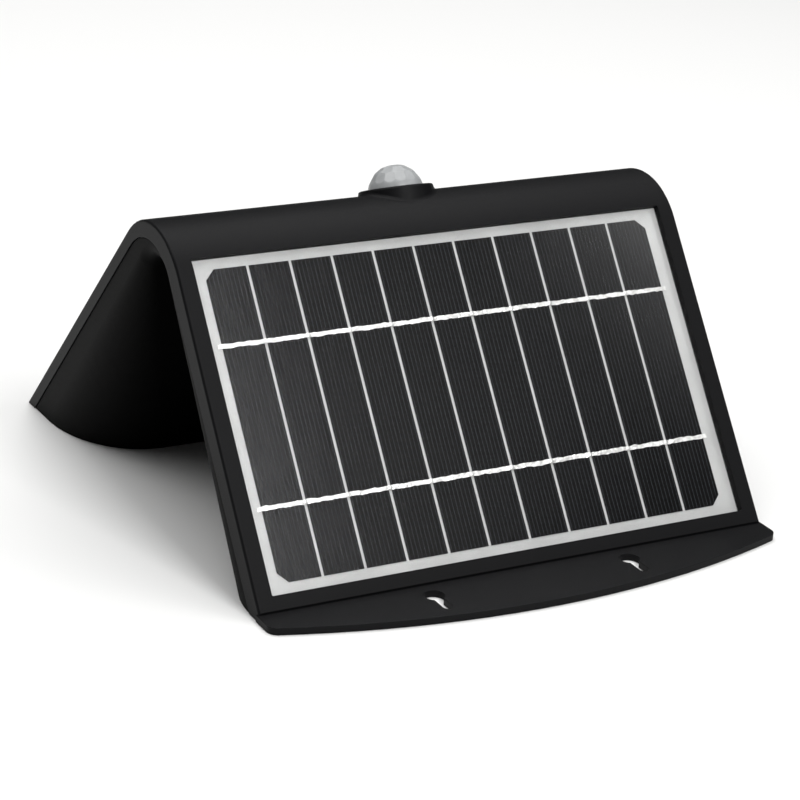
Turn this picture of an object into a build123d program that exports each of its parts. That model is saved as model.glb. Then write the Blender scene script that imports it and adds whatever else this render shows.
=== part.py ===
from build123d import *
from math import cos, radians, sin, tan
import os

# Two-winged solar wall lamp. X runs along the ridge, +Y is the lamp side, +Z away from the wall.
# The wall plane is Z = 0 and the origin is the middle of the bottom of the whole lamp.

# ---- overall sizes ----
width = 249.0                  # housing, end to end along the ridge
face_run = 186.3               # solar face, lower edge to where both faces would meet
panel_tilt = 53.0              # solar face against the wall
lamp_tilt = 47.0               # lamp face against the wall
ridge_radius = 34.5            # outer rounding of the ridge
flange_reach = 32.3            # mounting flange in front of the solar face
flange_thickness = 3.0
flange_arc_drop = 20.5         # how far the ends of the flange's front edge fall back
face_step = 1.0                # small step from the flange up to the solar face

# ---- housing shell ----
skin = 2.4
side_wall = 2.6
front_rim = 9.4                # depth of the shell's rim under the solar face
back_rim = 6.4                 # depth of the shell's rim under the lamp face
rim_radius = 27.0
edge_round = 1.2

# ---- inner cover ----
parting_gap = 0.4
cover_wall = 2.2
cover_inset = 0.4
fold_drop = 15.24              # from the top of the ridge down to the fold between the wings
fold_shift = 3.59              # fold in front of the ridge's centre line
front_belly_tilt = 64.0
back_belly_tilt = 63.0
inner_ridge_radius = 12.5
crest_side_round = 6.0
front_side_round = 30.0
back_side_round = 38.0

# ---- keyholes ----
keyhole_spacing = 96.8
keyhole_entry = 9.0
keyhole_slot = 4.5
keyhole_slot_run = 11.2
keyhole_from_face = 9.8

# ---- solar panel ----
panel_centre = 78.8            # up the face from its lower edge
panel_sink = 2.3               # clear surface below the face
panel_gap = 0.2
glue_thickness = 0.8
board_thickness = 1.2
cell_thickness = 0.3
ribbon_thickness = 0.2
clear_thickness = 1.2
tray_floor = 2.0
cell_pitch = 20.0
cell_count = 11
cell_gap = 1.4
cell_height = 135.5
cell_border_side = 6.65         # white border left beside the cells
cell_border_end = 4.7
cell_corner = 4.4
array_offset = -1.0
ribbon_width = 1.9
ribbon_over = 2.0
ribbon_rows = (34.2, -36.0)

# ---- motion sensor ----
sensor_tilt = 22.0
dome_radius = 12.6
dome_wall = 1.0
dome_centre = 34.6             # from the ridge's centre line
boss_top = 36.8
boss_wall = 4.2
boss_round = 1.2
boss_blend = 2.0               # hollow where the boss runs into the ridge
boss_flare = 0.15              # radius gained per millimetre down the boss
dome_flange_lip = 2.0
dome_flange = 1.2
seal_squeeze = 0.8
sensor_screw_out = 3.9          # sensor screws outside the dome's flange
dome_clearance = 0.1

# ---- lamp ----
window_width = 214.0
window_height = 112.0
window_centre = 112.0          # down the lamp face from the sharp ridge
diffuser_thickness = 2.6
diffuser_seal = 0.6
ledge = 4.0
ledge_thickness = 2.2
led_board_over = 5.0           # LED board past the window at each end
led_board_under = 3.0
led_board_depth = 9.0
led_board_thickness = 1.5
led_columns = 12
led_rows = 6

# ---- battery, control board, button ----
cell_dia = 18.4
cell_length = 65.0
battery_first = 22.0           # first cell, up from the wall
battery_gap = 1.6
battery_count = 3
cradle_floor = 1.5
control_width = 90.0
control_height = 44.0
control_centre = 74.0
control_standoff = 5.0
control_thickness = 1.6
button_dia = 9.0
button_clearance = 0.1
button_proud = 1.5
button_travel = 0.6
button_x = 30.0
button_flange = 0.8
button_gap = 0.05

screw_clearance = 0.2
pilot_clearance = 0.05
m3 = 3.0
m3_head = 5.6
m3_head_height = 2.0
m3_length = 10.0
m25 = 2.5
m25_head = 4.5
m25_head_height = 1.7
wire_dia = 1.6
thin_wire_dia = 1.1
lead_turn_drop = 35.05         # leads come round this far below the sharp ridge

# ---- sizes that follow ----
panel_width = cell_count * cell_pitch + 2 * cell_border_side
panel_height = cell_height + 2 * cell_border_end
boss_radius = dome_radius + boss_wall
dome_flange_radius = dome_radius + dome_flange_lip
sensor_screw_x = dome_flange_radius + sensor_screw_out
retainer_bore = dome_flange_radius - 3.4
led_board_width = window_width + 2 * led_board_over
led_board_height = window_height - 2 * led_board_under
battery_sites = [battery_first + row * (cell_dia + battery_gap) for row in range(battery_count)]
cradle_screw_x = cell_length / 2 + 9.5
lead_turn = face_run - lead_turn_drop

# ---- derived positions ----
pt = radians(panel_tilt)
lt = radians(lamp_tilt)
fb = radians(front_belly_tilt)
bb = radians(back_belly_tilt)
face_z = flange_thickness + face_step
ridge_z = face_z + face_run * sin(pt)
run_front = face_run * cos(pt)
run_back = ridge_z / tan(lt)
depth = flange_reach + run_front + run_back
face_y = flange_reach - depth / 2
tip_y = depth / 2
ridge_y = face_y + run_front
half = width / 2
cover_half = half - cover_inset
front_parting = front_rim + parting_gap
back_parting = back_rim + parting_gap


def front_y(z, inset):
    return face_y + (z - face_z) / tan(pt) + inset / sin(pt)


def back_y(z, inset):
    return tip_y - z / tan(lt) - inset / sin(lt)


def crest_z(front_inset, back_inset):
    span = tip_y - face_y + face_z / tan(pt) - front_inset / sin(pt) - back_inset / sin(lt)
    return span / (1 / tan(pt) + 1 / tan(lt))


def belly_crest(inset):
    span = back_in_y - front_in_y + inset / sin(fb) + inset / sin(bb)
    z = span / (1 / tan(fb) + 1 / tan(bb))
    return (front_in_y - inset / sin(fb) + z / tan(fb), z)


centre_z = crest_z(ridge_radius, ridge_radius)
centre_y = front_y(centre_z, ridge_radius)
belly_half_angle = radians(180 - front_belly_tilt - back_belly_tilt) / 2
inner_top_z = centre_z + ridge_radius - fold_drop
inner_sharp_z = inner_top_z + inner_ridge_radius * (1 / sin(belly_half_angle) - 1)
front_in_y = centre_y - fold_shift - inner_sharp_z / tan(fb)
back_in_y = centre_y - fold_shift + inner_sharp_z / tan(bb)
inner_crest_y, inner_crest_z = belly_crest(0)

face_plane = Plane(origin=(0, face_y, face_z), x_dir=(1, 0, 0), z_dir=(0, -sin(pt), cos(pt)))
lamp_plane = Plane(origin=(0, ridge_y, ridge_z), x_dir=(1, 0, 0), z_dir=(0, sin(lt), cos(lt)))
control_plane = Plane(origin=(0, front_in_y, 0), x_dir=(1, 0, 0), z_dir=(0, -sin(fb), cos(fb)))
battery_plane = Plane(origin=(0, back_in_y, 0), x_dir=(-1, 0, 0), z_dir=(0, sin(bb), cos(bb)))
sensor_plane = Plane(
    origin=(0, centre_y, centre_z),
    x_dir=(1, 0, 0),
    z_dir=(0, sin(radians(sensor_tilt)), cos(radians(sensor_tilt))),
)

panel_floor = panel_sink + clear_thickness + board_thickness + glue_thickness
tray_bottom = panel_floor + tray_floor
seal_top = dome_centre - 2.5
flange_top = seal_top - seal_squeeze
flange_low = flange_top - dome_flange
retainer_low = flange_low - 3.0
ear_top = retainer_low + 1.6
window_ledge = diffuser_thickness + diffuser_seal
window_bottom = window_ledge + ledge_thickness

# Cover screws all stand square to the wall: two under the ridge, two in each foot.
crest_screw_x = half - 24.5
crest_screws = [(-crest_screw_x, inner_crest_y), (crest_screw_x, inner_crest_y)]
foot_screws = [
    (-80.0, face_y + 21.0),
    (80.0, face_y + 21.0),
    (-80.0, tip_y - 22.0),
    (80.0, tip_y - 22.0),
]
crest_seat_z = inner_top_z + cover_wall
foot_seat_z = 5.0
foot_recess = 3.0
control_hole_x = control_width / 2 - 5.0
control_hole_y = control_height / 2 - 5.0
control_holes = [
    (x, control_centre + y)
    for x in (-control_hole_x, control_hole_x)
    for y in (-control_hole_y, control_hole_y)
]
cradle_holes = [(-cradle_screw_x, battery_sites[1]), (cradle_screw_x, battery_sites[1])]
led_hole_x = led_board_width / 2 - 3.5
led_hole_y = led_board_height / 2 - 7.0
led_holes = [
    (x, window_centre + y)
    for x in (-led_hole_x, led_hole_x)
    for y in (-led_hole_y, 0.0, led_hole_y)
]
sensor_holes = [(-sensor_screw_x, 0.0), (sensor_screw_x, 0.0)]
vent_site = (-62.0, 40.0)
lead_hole = (10.5, panel_centre + 41.2)


# A prism under the two faces, each moved inwards by its own inset, with a rounded ridge.
def vee_prism(front_inset, back_inset, radius, half_width, foot):
    top = crest_z(front_inset, back_inset)
    with BuildPart() as prism:
        with BuildSketch(Plane.YZ):
            with BuildLine():
                Polyline(
                    (front_y(foot, front_inset), foot),
                    (front_y(top, front_inset), top),
                    (back_y(foot, back_inset), foot),
                    close=True,
                )
            make_face()
            fillet(vertices().sort_by(Axis.Y)[-1], radius)
        extrude(amount=half_width, both=True)
    return prism.part


# The open space between the wings, grown outwards by an inset.
def tent_prism(inset, half_width):
    foot = -1.0
    top_y, top = belly_crest(inset)
    with BuildPart() as prism:
        with BuildSketch(Plane.YZ):
            with BuildLine():
                Polyline(
                    (front_in_y - inset / sin(fb) + foot / tan(fb), foot),
                    (top_y, top),
                    (back_in_y + inset / sin(bb) - foot / tan(bb), foot),
                    close=True,
                )
            make_face()
            fillet(vertices().sort_by(Axis.Y)[-1], inner_ridge_radius + inset)
        extrude(amount=half_width, both=True)
    return prism.part


# One slice across the side rounding: everything outside the rounded corner of a belly.
def corner_slice(plane, r):
    with BuildSketch(plane) as cut:
        with BuildLine():
            Polyline((-r, 0), (-r, 1), (1, 1), (1, -r), (0, -r))
            ThreePointArc((0, -r), (-r + r * cos(radians(45)), -r + r * sin(radians(45))), (-r, 0))
        make_face()
    return cut.sketch


# What the side rounding takes away at the +X end: it grows down each wing and turns over the ridge.
def side_rounding(inset, half_width):
    r_top = crest_side_round - inset
    ridge_run = inner_ridge_radius / tan(belly_half_angle)
    with BuildPart() as rounding:
        for start_y, tilt, side, foot_round in (
            (front_in_y, fb, 1, front_side_round),
            (back_in_y, bb, -1, back_side_round),
        ):
            run = inner_crest_z / sin(tilt) - ridge_run
            grow = (foot_round - crest_side_round) / run
            slices = []
            for reach in (run, -28.0):
                y = start_y + side * (reach * cos(tilt) - inset * sin(tilt))
                z = reach * sin(tilt) + inset * cos(tilt)
                down = Plane(origin=(half_width, y, z), x_dir=(1, 0, 0), z_dir=(0, cos(tilt), side * sin(tilt)))
                slices.append(corner_slice(down, foot_round - grow * reach - inset))
            loft(sections=slices, ruled=True)
        run = inner_crest_z / sin(fb) - ridge_run
        y = front_in_y + run * cos(fb)
        z = run * sin(fb)
        start = Plane(
            origin=(half_width, y - inset * sin(fb), z + inset * cos(fb)),
            x_dir=(1, 0, 0),
            z_dir=(0, cos(fb), sin(fb)),
        )
        turn = Axis(
            (half_width, y + inner_ridge_radius * sin(fb), z - inner_ridge_radius * cos(fb)),
            (-1, 0, 0),
        )
        revolve(corner_slice(start, r_top), axis=turn, revolution_arc=front_belly_tilt + back_belly_tilt)
    return rounding.part


# The two hollow bellies of the cover as one solid, every wall moved inwards by an inset.
def bellies(inset, front_inset, back_inset, radius, foot):
    half_width = cover_half - inset
    rounding = side_rounding(inset, half_width)
    with BuildPart() as body:
        add(vee_prism(front_inset, back_inset, radius, half_width, foot))
        add(tent_prism(inset, half_width + 1), mode=Mode.SUBTRACT)
        add(rounding, mode=Mode.SUBTRACT)
        add(mirror(rounding, about=Plane.YZ, mode=Mode.PRIVATE), mode=Mode.SUBTRACT)
    return body.part


def finish(piece, label):
    piece.part.label = label
    export_step(piece.part, f"parts/{label}.step")


os.makedirs("parts", exist_ok=True)

# ================= outer housing: both faces, ridge, flange, sensor boss =================
outer_top = crest_z(0, 0)
with BuildPart() as outer_form:
    with BuildSketch(Plane.YZ):
        with BuildLine():
            Polyline((face_y, 0), (face_y, face_z), (ridge_y, outer_top), (tip_y, 0), close=True)
        make_face()
        fillet(vertices().sort_by(Axis.Y)[-1], ridge_radius)
    extrude(amount=half, both=True)
    ends = outer_form.faces().sort_by(Axis.X)
    rims = (ends[0].edges() + ends[-1].edges()).filter_by(lambda e: e.center().Z > face_z)
    fillet(rims, edge_round)
    # boss around the motion sensor, rounded at its rim and running into the ridge in a hollow
    with BuildSketch(sensor_plane.offset(20)) as boss_base:
        Circle(boss_radius + (boss_top - 20) * boss_flare)
    with BuildSketch(sensor_plane.offset(boss_top)) as boss_end:
        Circle(boss_radius)
    loft()
    boss_side = outer_form.faces().filter_by(GeomType.CONE)[0]
    fillet(boss_side.edges().filter_by(lambda e: e.geom_type not in (GeomType.CIRCLE, GeomType.LINE)), boss_blend)
    top_plane = sensor_plane.offset(boss_top)
    boss_rim = outer_form.edges().filter_by(
        lambda e: abs(top_plane.to_local_coords(e.center()).Z) < 0.01
        and abs(top_plane.to_local_coords(e @ 0).Z) < 0.01
    )
    fillet(boss_rim, boss_round)

with BuildPart() as boss_core:
    with BuildSketch(sensor_plane.offset(ear_top)):
        Circle(sensor_screw_x)
    extrude(amount=20)
    add(outer_form.part, mode=Mode.INTERSECT)

# posts for the cover screws, cut off inside the skins
with BuildPart() as foot_posts:
    with BuildSketch(Plane.XY.offset(foot_seat_z + 0.3)):
        with Locations(*foot_screws):
            Circle(4.0)
    extrude(amount=40)
    add(vee_prism(panel_floor + 1.0, 1.2, ridge_radius - 1.2, half, 0), mode=Mode.INTERSECT)

with BuildPart() as crest_posts:
    with BuildSketch(Plane.XY.offset(crest_seat_z + 0.3)):
        with Locations(*crest_screws):
            Circle(4.0)
    extrude(amount=20)
    add(vee_prism(1.2, 1.2, ridge_radius - 1.2, half, 0), mode=Mode.INTERSECT)

with BuildPart() as outer_housing:
    add(outer_form.part)
    add(vee_prism(front_rim, back_rim, rim_radius, half + 1, -1), mode=Mode.SUBTRACT)
    add(vee_prism(skin, skin, ridge_radius - skin, half - side_wall, side_wall), mode=Mode.SUBTRACT)
    # mounting flange with its bowed front edge
    with BuildSketch():
        with BuildLine():
            ear = half + 0.6
            end_y = face_y - flange_reach + flange_arc_drop
            Polyline((-ear, end_y), (-ear, face_y + 1.5), (ear, face_y + 1.5), (ear, end_y))
            ThreePointArc((ear, end_y), (0, face_y - flange_reach), (-ear, end_y))
        make_face()
        fillet(vertices().group_by(Axis.Y)[0], 5.0)
        with Locations((-keyhole_spacing / 2, 0), (keyhole_spacing / 2, 0)):
            with Locations((0, face_y - keyhole_from_face)):
                Circle(keyhole_entry / 2, mode=Mode.SUBTRACT)
            with Locations((0, face_y - keyhole_from_face - keyhole_slot_run / 2)):
                Rectangle(keyhole_slot, keyhole_slot_run, mode=Mode.SUBTRACT)
            with Locations((0, face_y - keyhole_from_face - keyhole_slot_run)):
                Circle(keyhole_slot / 2, mode=Mode.SUBTRACT)
    extrude(amount=flange_thickness)
    # tray for the solar panel
    with BuildSketch(face_plane.offset(-tray_bottom)):
        with Locations((0, panel_centre)):
            Rectangle(panel_width + 2 * panel_gap + 4, panel_height + 2 * panel_gap + 4)
    extrude(amount=tray_bottom - 1)
    with BuildSketch(face_plane.offset(-panel_floor)):
        with Locations((0, panel_centre)):
            RectangleRounded(panel_width + 2 * panel_gap, panel_height + 2 * panel_gap, 0.6)
    extrude(amount=panel_floor + 2, mode=Mode.SUBTRACT)
    with BuildSketch(face_plane.offset(-panel_floor)):
        with Locations(lead_hole):
            SlotOverall(14, 7)
    extrude(amount=-8, mode=Mode.SUBTRACT)
    # window for the lamp
    with BuildSketch(lamp_plane.offset(-window_bottom)):
        with Locations((0, window_centre)):
            Rectangle(window_width + 5, window_height + 5)
    extrude(amount=window_bottom - 1)
    with BuildSketch(lamp_plane.offset(-window_ledge)):
        with Locations((0, window_centre)):
            RectangleRounded(window_width + 2 * panel_gap, window_height + 2 * panel_gap, 6)
    extrude(amount=window_ledge + 2, mode=Mode.SUBTRACT)
    with BuildSketch(lamp_plane.offset(-window_bottom - 1)):
        with Locations((0, window_centre)):
            RectangleRounded(window_width - 2 * ledge, window_height - 2 * ledge, 3)
    extrude(amount=window_bottom, mode=Mode.SUBTRACT)
    # posts for the lamp board
    with BuildSketch(lamp_plane.offset(-led_board_depth)):
        with Locations(*led_holes):
            Circle(3.0)
    extrude(amount=led_board_depth - window_ledge - 0.5)
    # screw posts and the sensor boss from the inside
    add(foot_posts.part)
    add(crest_posts.part)
    add(boss_core.part)
    with BuildSketch(sensor_plane.offset(15)):
        Circle(dome_flange_radius + 0.4)
    extrude(amount=seal_top - 15, mode=Mode.SUBTRACT)
    with BuildSketch(sensor_plane.offset(20)):
        Circle(dome_radius + dome_clearance)
    extrude(amount=30, mode=Mode.SUBTRACT)
    with BuildSketch(sensor_plane.offset(ear_top)):
        with Locations(*sensor_holes):
            Circle(3.0)
    extrude(amount=ridge_radius - skin - ear_top + 0.6)
    # pilot holes
    with BuildSketch(Plane.XY):
        with Locations(*foot_screws):
            Circle(m3 / 2 + pilot_clearance)
    extrude(amount=foot_seat_z + 8.5, mode=Mode.SUBTRACT)
    with BuildSketch(Plane.XY.offset(crest_seat_z)):
        with Locations(*crest_screws):
            Circle(m3 / 2 + pilot_clearance)
    extrude(amount=8.0, mode=Mode.SUBTRACT)
    with BuildSketch(lamp_plane.offset(-led_board_depth)):
        with Locations(*led_holes):
            Circle(m25 / 2 + pilot_clearance)
    extrude(amount=4.6, mode=Mode.SUBTRACT)
    with BuildSketch(sensor_plane.offset(ear_top)):
        with Locations(*sensor_holes):
            Circle(m25 / 2 + pilot_clearance)
    extrude(amount=4.0, mode=Mode.SUBTRACT)
finish(outer_housing, "outer_housing")

# ================= inner cover: the two hollow bellies =================
with BuildPart() as inner_cover:
    add(bellies(0, front_parting, back_parting, rim_radius - parting_gap, 0))
    add(bellies(cover_wall, 1.0, 1.0, ridge_radius - 1.0, cover_wall), mode=Mode.SUBTRACT)
    # seats for the foot screws and pads for the ridge screws
    with BuildSketch(Plane.XY):
        with Locations(*foot_screws):
            Circle(5.6)
    extrude(amount=foot_seat_z)
    with BuildSketch(Plane.XY):
        with Locations(*foot_screws):
            Circle(m3_head / 2 + 0.5)
    extrude(amount=foot_recess, mode=Mode.SUBTRACT)
    with BuildSketch(Plane.XY.offset(inner_top_z - 1.0)):
        with Locations(*crest_screws):
            Circle(4.6)
    extrude(amount=crest_seat_z - inner_top_z + 1.0)
    with BuildSketch(Plane.XY):
        with Locations(*foot_screws, *crest_screws):
            Circle(m3 / 2 + screw_clearance)
    extrude(amount=crest_seat_z + 1, mode=Mode.SUBTRACT)
    # standoffs for the control board
    with BuildSketch(control_plane.offset(cover_wall - 0.5)):
        with Locations(*control_holes):
            Circle(3.2)
    extrude(amount=control_standoff + 0.5)
    with BuildSketch(control_plane.offset(cover_wall)):
        with Locations(*control_holes):
            Circle(m25 / 2 + pilot_clearance)
    extrude(amount=control_standoff, mode=Mode.SUBTRACT)
    # posts for the battery cradle
    with BuildSketch(battery_plane.offset(cover_wall - 0.5)):
        with Locations(*cradle_holes):
            Circle(3.6)
    extrude(amount=6.5)
    with BuildSketch(battery_plane.offset(cover_wall)):
        with Locations(*cradle_holes):
            Circle(m25 / 2 + pilot_clearance)
    extrude(amount=6.0, mode=Mode.SUBTRACT)
    # openings for the button and the vent
    with BuildSketch(control_plane.offset(-1)):
        with Locations((button_x, control_centre)):
            Circle(button_dia / 2 + button_clearance)
        with Locations(vent_site):
            Circle(3.2)
    extrude(amount=cover_wall + 2, mode=Mode.SUBTRACT)
finish(inner_cover, "inner_cover")

# ================= seal along the parting line =================
with BuildPart() as housing_seal:
    add(vee_prism(front_rim, back_rim, rim_radius, half - 1.0, 0.6))
    add(vee_prism(front_parting, back_parting, rim_radius - parting_gap, half, -1), mode=Mode.SUBTRACT)
    add(vee_prism(0, 0, ridge_radius, half - side_wall + 0.3, side_wall - 0.3), mode=Mode.SUBTRACT)
finish(housing_seal, "housing_seal")

# ================= solar panel =================
with BuildPart() as panel_adhesive:
    with BuildSketch(face_plane.offset(-panel_floor)):
        with Locations((0, panel_centre)):
            Rectangle(panel_width - 1, panel_height - 1)
            Rectangle(panel_width - 25, panel_height - 25, mode=Mode.SUBTRACT)
    extrude(amount=glue_thickness)
finish(panel_adhesive, "panel_adhesive")

board_back = panel_floor - glue_thickness
board_front = board_back - board_thickness
with BuildPart() as panel_board:
    with BuildSketch(face_plane.offset(-board_back)):
        with Locations((0, panel_centre)):
            Rectangle(panel_width, panel_height)
    extrude(amount=board_thickness)
finish(panel_board, "panel_board")

array_half = cell_pitch * cell_count / 2
with BuildPart() as solar_cells:
    for index in range(cell_count):
        left = -array_half + index * cell_pitch + (0 if index == 0 else cell_gap / 2)
        right = -array_half + (index + 1) * cell_pitch - (0 if index == cell_count - 1 else cell_gap / 2)
        with BuildSketch(face_plane.offset(-board_front)):
            with Locations((array_offset + (left + right) / 2, panel_centre)):
                Rectangle(right - left, cell_height)
            if index == 0:
                chamfer(vertices().group_by(Axis.X)[0], cell_corner)
            if index == cell_count - 1:
                chamfer(vertices().group_by(Axis.X)[-1], cell_corner)
        extrude(amount=cell_thickness)
finish(solar_cells, "solar_cells")

with BuildPart() as cell_ribbons:
    with BuildSketch(face_plane.offset(-board_front + cell_thickness)):
        for row in ribbon_rows:
            with Locations((array_offset, panel_centre + row)):
                Rectangle(2 * array_half + 2 * ribbon_over, ribbon_width)
    extrude(amount=ribbon_thickness)
finish(cell_ribbons, "cell_ribbons")

with BuildPart() as panel_window:
    with BuildSketch(face_plane.offset(-board_front)):
        with Locations((0, panel_centre)):
            Rectangle(panel_width, panel_height)
    extrude(amount=clear_thickness)
    clear_top = panel_window.faces().sort_by(Axis((0, 0, 0), face_plane.z_dir))[-1]
    chamfer(clear_top.edges(), 0.7)
    add(solar_cells.part, mode=Mode.SUBTRACT)
    add(cell_ribbons.part, mode=Mode.SUBTRACT)
finish(panel_window, "panel_window")

# ================= motion sensor =================
with BuildPart() as sensor_dome:
    with BuildSketch(Plane(origin=sensor_plane.origin, x_dir=(1, 0, 0), z_dir=-sensor_plane.y_dir)):
        with BuildLine():
            Line((0, dome_centre + dome_radius), (0, dome_centre + dome_radius - dome_wall))
            ThreePointArc(
                (0, dome_centre + dome_radius - dome_wall),
                (
                    (dome_radius - dome_wall) * cos(radians(45)),
                    dome_centre + (dome_radius - dome_wall) * sin(radians(45)),
                ),
                (dome_radius - dome_wall, dome_centre),
            )
            Polyline(
                (dome_radius - dome_wall, dome_centre),
                (dome_radius - dome_wall, flange_low),
                (dome_flange_radius, flange_low),
                (dome_flange_radius, flange_top),
                (dome_radius, flange_top),
                (dome_radius, dome_centre),
            )
            ThreePointArc(
                (dome_radius, dome_centre),
                (dome_radius * cos(radians(45)), dome_centre + dome_radius * sin(radians(45))),
                (0, dome_centre + dome_radius),
            )
        make_face()
    revolve(axis=Axis(sensor_plane.origin, sensor_plane.z_dir))
finish(sensor_dome, "sensor_dome")

with BuildPart() as dome_seal:
    with BuildSketch(sensor_plane.offset(flange_top)):
        Circle(dome_flange_radius)
        Circle(dome_radius + 0.3, mode=Mode.SUBTRACT)
    extrude(amount=seal_squeeze)
finish(dome_seal, "dome_seal")

with BuildPart() as sensor_retainer:
    with BuildSketch(sensor_plane.offset(retainer_low)):
        Circle(dome_flange_radius)
        Circle(retainer_bore, mode=Mode.SUBTRACT)
    extrude(amount=flange_low - retainer_low)
    with BuildSketch(sensor_plane.offset(retainer_low)):
        SlotOverall(2 * sensor_screw_x + 9, 8)
        Circle(retainer_bore, mode=Mode.SUBTRACT)
        with Locations(*sensor_holes):
            Circle(m25 / 2 + screw_clearance, mode=Mode.SUBTRACT)
    extrude(amount=ear_top - retainer_low)
finish(sensor_retainer, "sensor_retainer")

sensor_board_thickness = 1.2
sensor_board_back = retainer_low - sensor_board_thickness
with BuildPart() as sensor_board:
    with BuildSketch(sensor_plane.offset(sensor_board_back)):
        Circle(dome_flange_radius - 0.4)
        SlotOverall(2 * sensor_screw_x + 9, 8)
        with Locations(*sensor_holes):
            Circle(m25 / 2 + screw_clearance, mode=Mode.SUBTRACT)
    extrude(amount=sensor_board_thickness)
finish(sensor_board, "sensor_board")

can_height = 4.2
with BuildPart() as pir_can:
    with BuildSketch(sensor_plane.offset(retainer_low)):
        Circle(4.6)
    extrude(amount=0.6)
    with BuildSketch(sensor_plane.offset(retainer_low)):
        Circle(4.1)
    extrude(amount=can_height)
    rim = pir_can.edges().filter_by(GeomType.CIRCLE).sort_by(Axis(sensor_plane.origin, sensor_plane.z_dir))[-1]
    fillet(rim, 0.4)
    with BuildSketch(sensor_plane.offset(retainer_low + 0.6)):
        Circle(3.8)
    extrude(amount=can_height - 0.9, mode=Mode.SUBTRACT)
    with BuildSketch(sensor_plane.offset(retainer_low + can_height - 1)):
        Rectangle(4.0, 3.0)
    extrude(amount=2, mode=Mode.SUBTRACT)
finish(pir_can, "pir_can")

with BuildPart() as pir_window:
    with BuildSketch(sensor_plane.offset(retainer_low + can_height - 0.8)):
        Rectangle(5.0, 4.0)
    extrude(amount=0.5)
finish(pir_window, "pir_window")

with BuildPart() as light_sensor:
    with BuildSketch(sensor_plane.offset(retainer_low)):
        with Locations((7.6, 0)):
            Circle(1.5)
    extrude(amount=3.4)
    lens_rim = light_sensor.edges().sort_by(Axis(sensor_plane.origin, sensor_plane.z_dir))[-1]
    fillet(lens_rim, 1.4)
finish(light_sensor, "light_sensor")

# ================= lamp =================
with BuildPart() as diffuser_seal_ring:
    with BuildSketch(lamp_plane.offset(-window_ledge)):
        with Locations((0, window_centre)):
            RectangleRounded(window_width, window_height, 5.8)
            RectangleRounded(window_width - 2 * ledge + 2, window_height - 2 * ledge + 2, 3.5, mode=Mode.SUBTRACT)
    extrude(amount=diffuser_seal)
finish(diffuser_seal_ring, "diffuser_seal")

with BuildPart() as lamp_diffuser:
    with BuildSketch(lamp_plane.offset(-diffuser_thickness)):
        with Locations((0, window_centre)):
            RectangleRounded(window_width, window_height, 5.8)
    extrude(amount=diffuser_thickness)
    diffuser_top = lamp_diffuser.faces().sort_by(Axis((0, 0, 0), lamp_plane.z_dir))[-1]
    chamfer(diffuser_top.edges(), 0.5)
finish(lamp_diffuser, "lamp_diffuser")

reflector_width = window_width - 2 * ledge + 3.6
reflector_height = window_height - 2 * ledge + 3.6
with BuildPart() as led_reflector:
    with BuildSketch(lamp_plane.offset(-led_board_depth)):
        with Locations((0, window_centre)):
            Rectangle(reflector_width, reflector_height)
    extrude(amount=led_board_depth - window_bottom)
    with BuildSketch(lamp_plane.offset(-led_board_depth)):
        with Locations((0, window_centre)):
            Rectangle(reflector_width - 9, reflector_height - 9)
    with BuildSketch(lamp_plane.offset(-window_bottom)):
        with Locations((0, window_centre)):
            Rectangle(reflector_width - 4, reflector_height - 4)
    loft(mode=Mode.SUBTRACT)
finish(led_reflector, "led_reflector")

led_board_back = led_board_depth + led_board_thickness
with BuildPart() as led_board:
    with BuildSketch(lamp_plane.offset(-led_board_back)):
        with Locations((0, window_centre)):
            RectangleRounded(led_board_width, led_board_height, 3)
        with Locations(*led_holes):
            Circle(m25 / 2 + screw_clearance, mode=Mode.SUBTRACT)
    extrude(amount=led_board_thickness)
finish(led_board, "led_board")

with BuildPart() as led_chips:
    with BuildSketch(lamp_plane.offset(-led_board_depth)):
        with Locations((0, window_centre)):
            with GridLocations(16, 15, led_columns, led_rows):
                Rectangle(3.5, 2.8)
    extrude(amount=0.7)
finish(led_chips, "led_chips")

with BuildPart() as led_screws:
    with BuildSketch(lamp_plane.offset(-led_board_back - m25_head_height)):
        with Locations(*led_holes):
            Circle(m25_head / 2)
    extrude(amount=m25_head_height)
    with BuildSketch(lamp_plane.offset(-led_board_back)):
        with Locations(*led_holes):
            Circle(m25 / 2)
    extrude(amount=led_board_thickness + 4.2)
finish(led_screws, "led_screws")

# ================= battery =================
cradle_low = cover_wall + 0.3
pack_axis = cradle_low + cradle_floor + 0.3 + cell_dia / 2
pack_centre = sum(battery_sites) / len(battery_sites)
pack_height = battery_sites[-1] - battery_sites[0] + cell_dia
cradle_wall_x = cell_length / 2 + 1.0
with BuildPart() as battery_cells:
    with BuildSketch(Plane(origin=(-cell_length / 2, 0, 0), x_dir=(0, 1, 0), z_dir=(1, 0, 0))):
        for site in battery_sites:
            spot = battery_plane.from_local_coords((0, site, pack_axis))
            with Locations((spot.Y, spot.Z)):
                Circle(cell_dia / 2)
    extrude(amount=cell_length)
    fillet(battery_cells.edges().filter_by(GeomType.CIRCLE), 0.7)
finish(battery_cells, "battery_cells")

with BuildPart() as battery_tabs:
    for side in (-1, 1):
        tab_plane = Plane(origin=(side * cell_length / 2, 0, 0), x_dir=(0, 1, 0), z_dir=(side, 0, 0))
        low = battery_plane.from_local_coords((0, battery_sites[0] - 4, pack_axis))
        high = battery_plane.from_local_coords((0, battery_sites[-1] + 12, pack_axis))
        rise = Vector(0, high.Y - low.Y, high.Z - low.Z)
        mid = (low + high) * 0.5
        with BuildSketch(Plane(origin=(side * cell_length / 2, mid.Y, mid.Z), x_dir=rise, z_dir=(side, 0, 0))):
            Rectangle(rise.length, 7)
        extrude(amount=0.2)
finish(battery_tabs, "battery_tabs")

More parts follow.
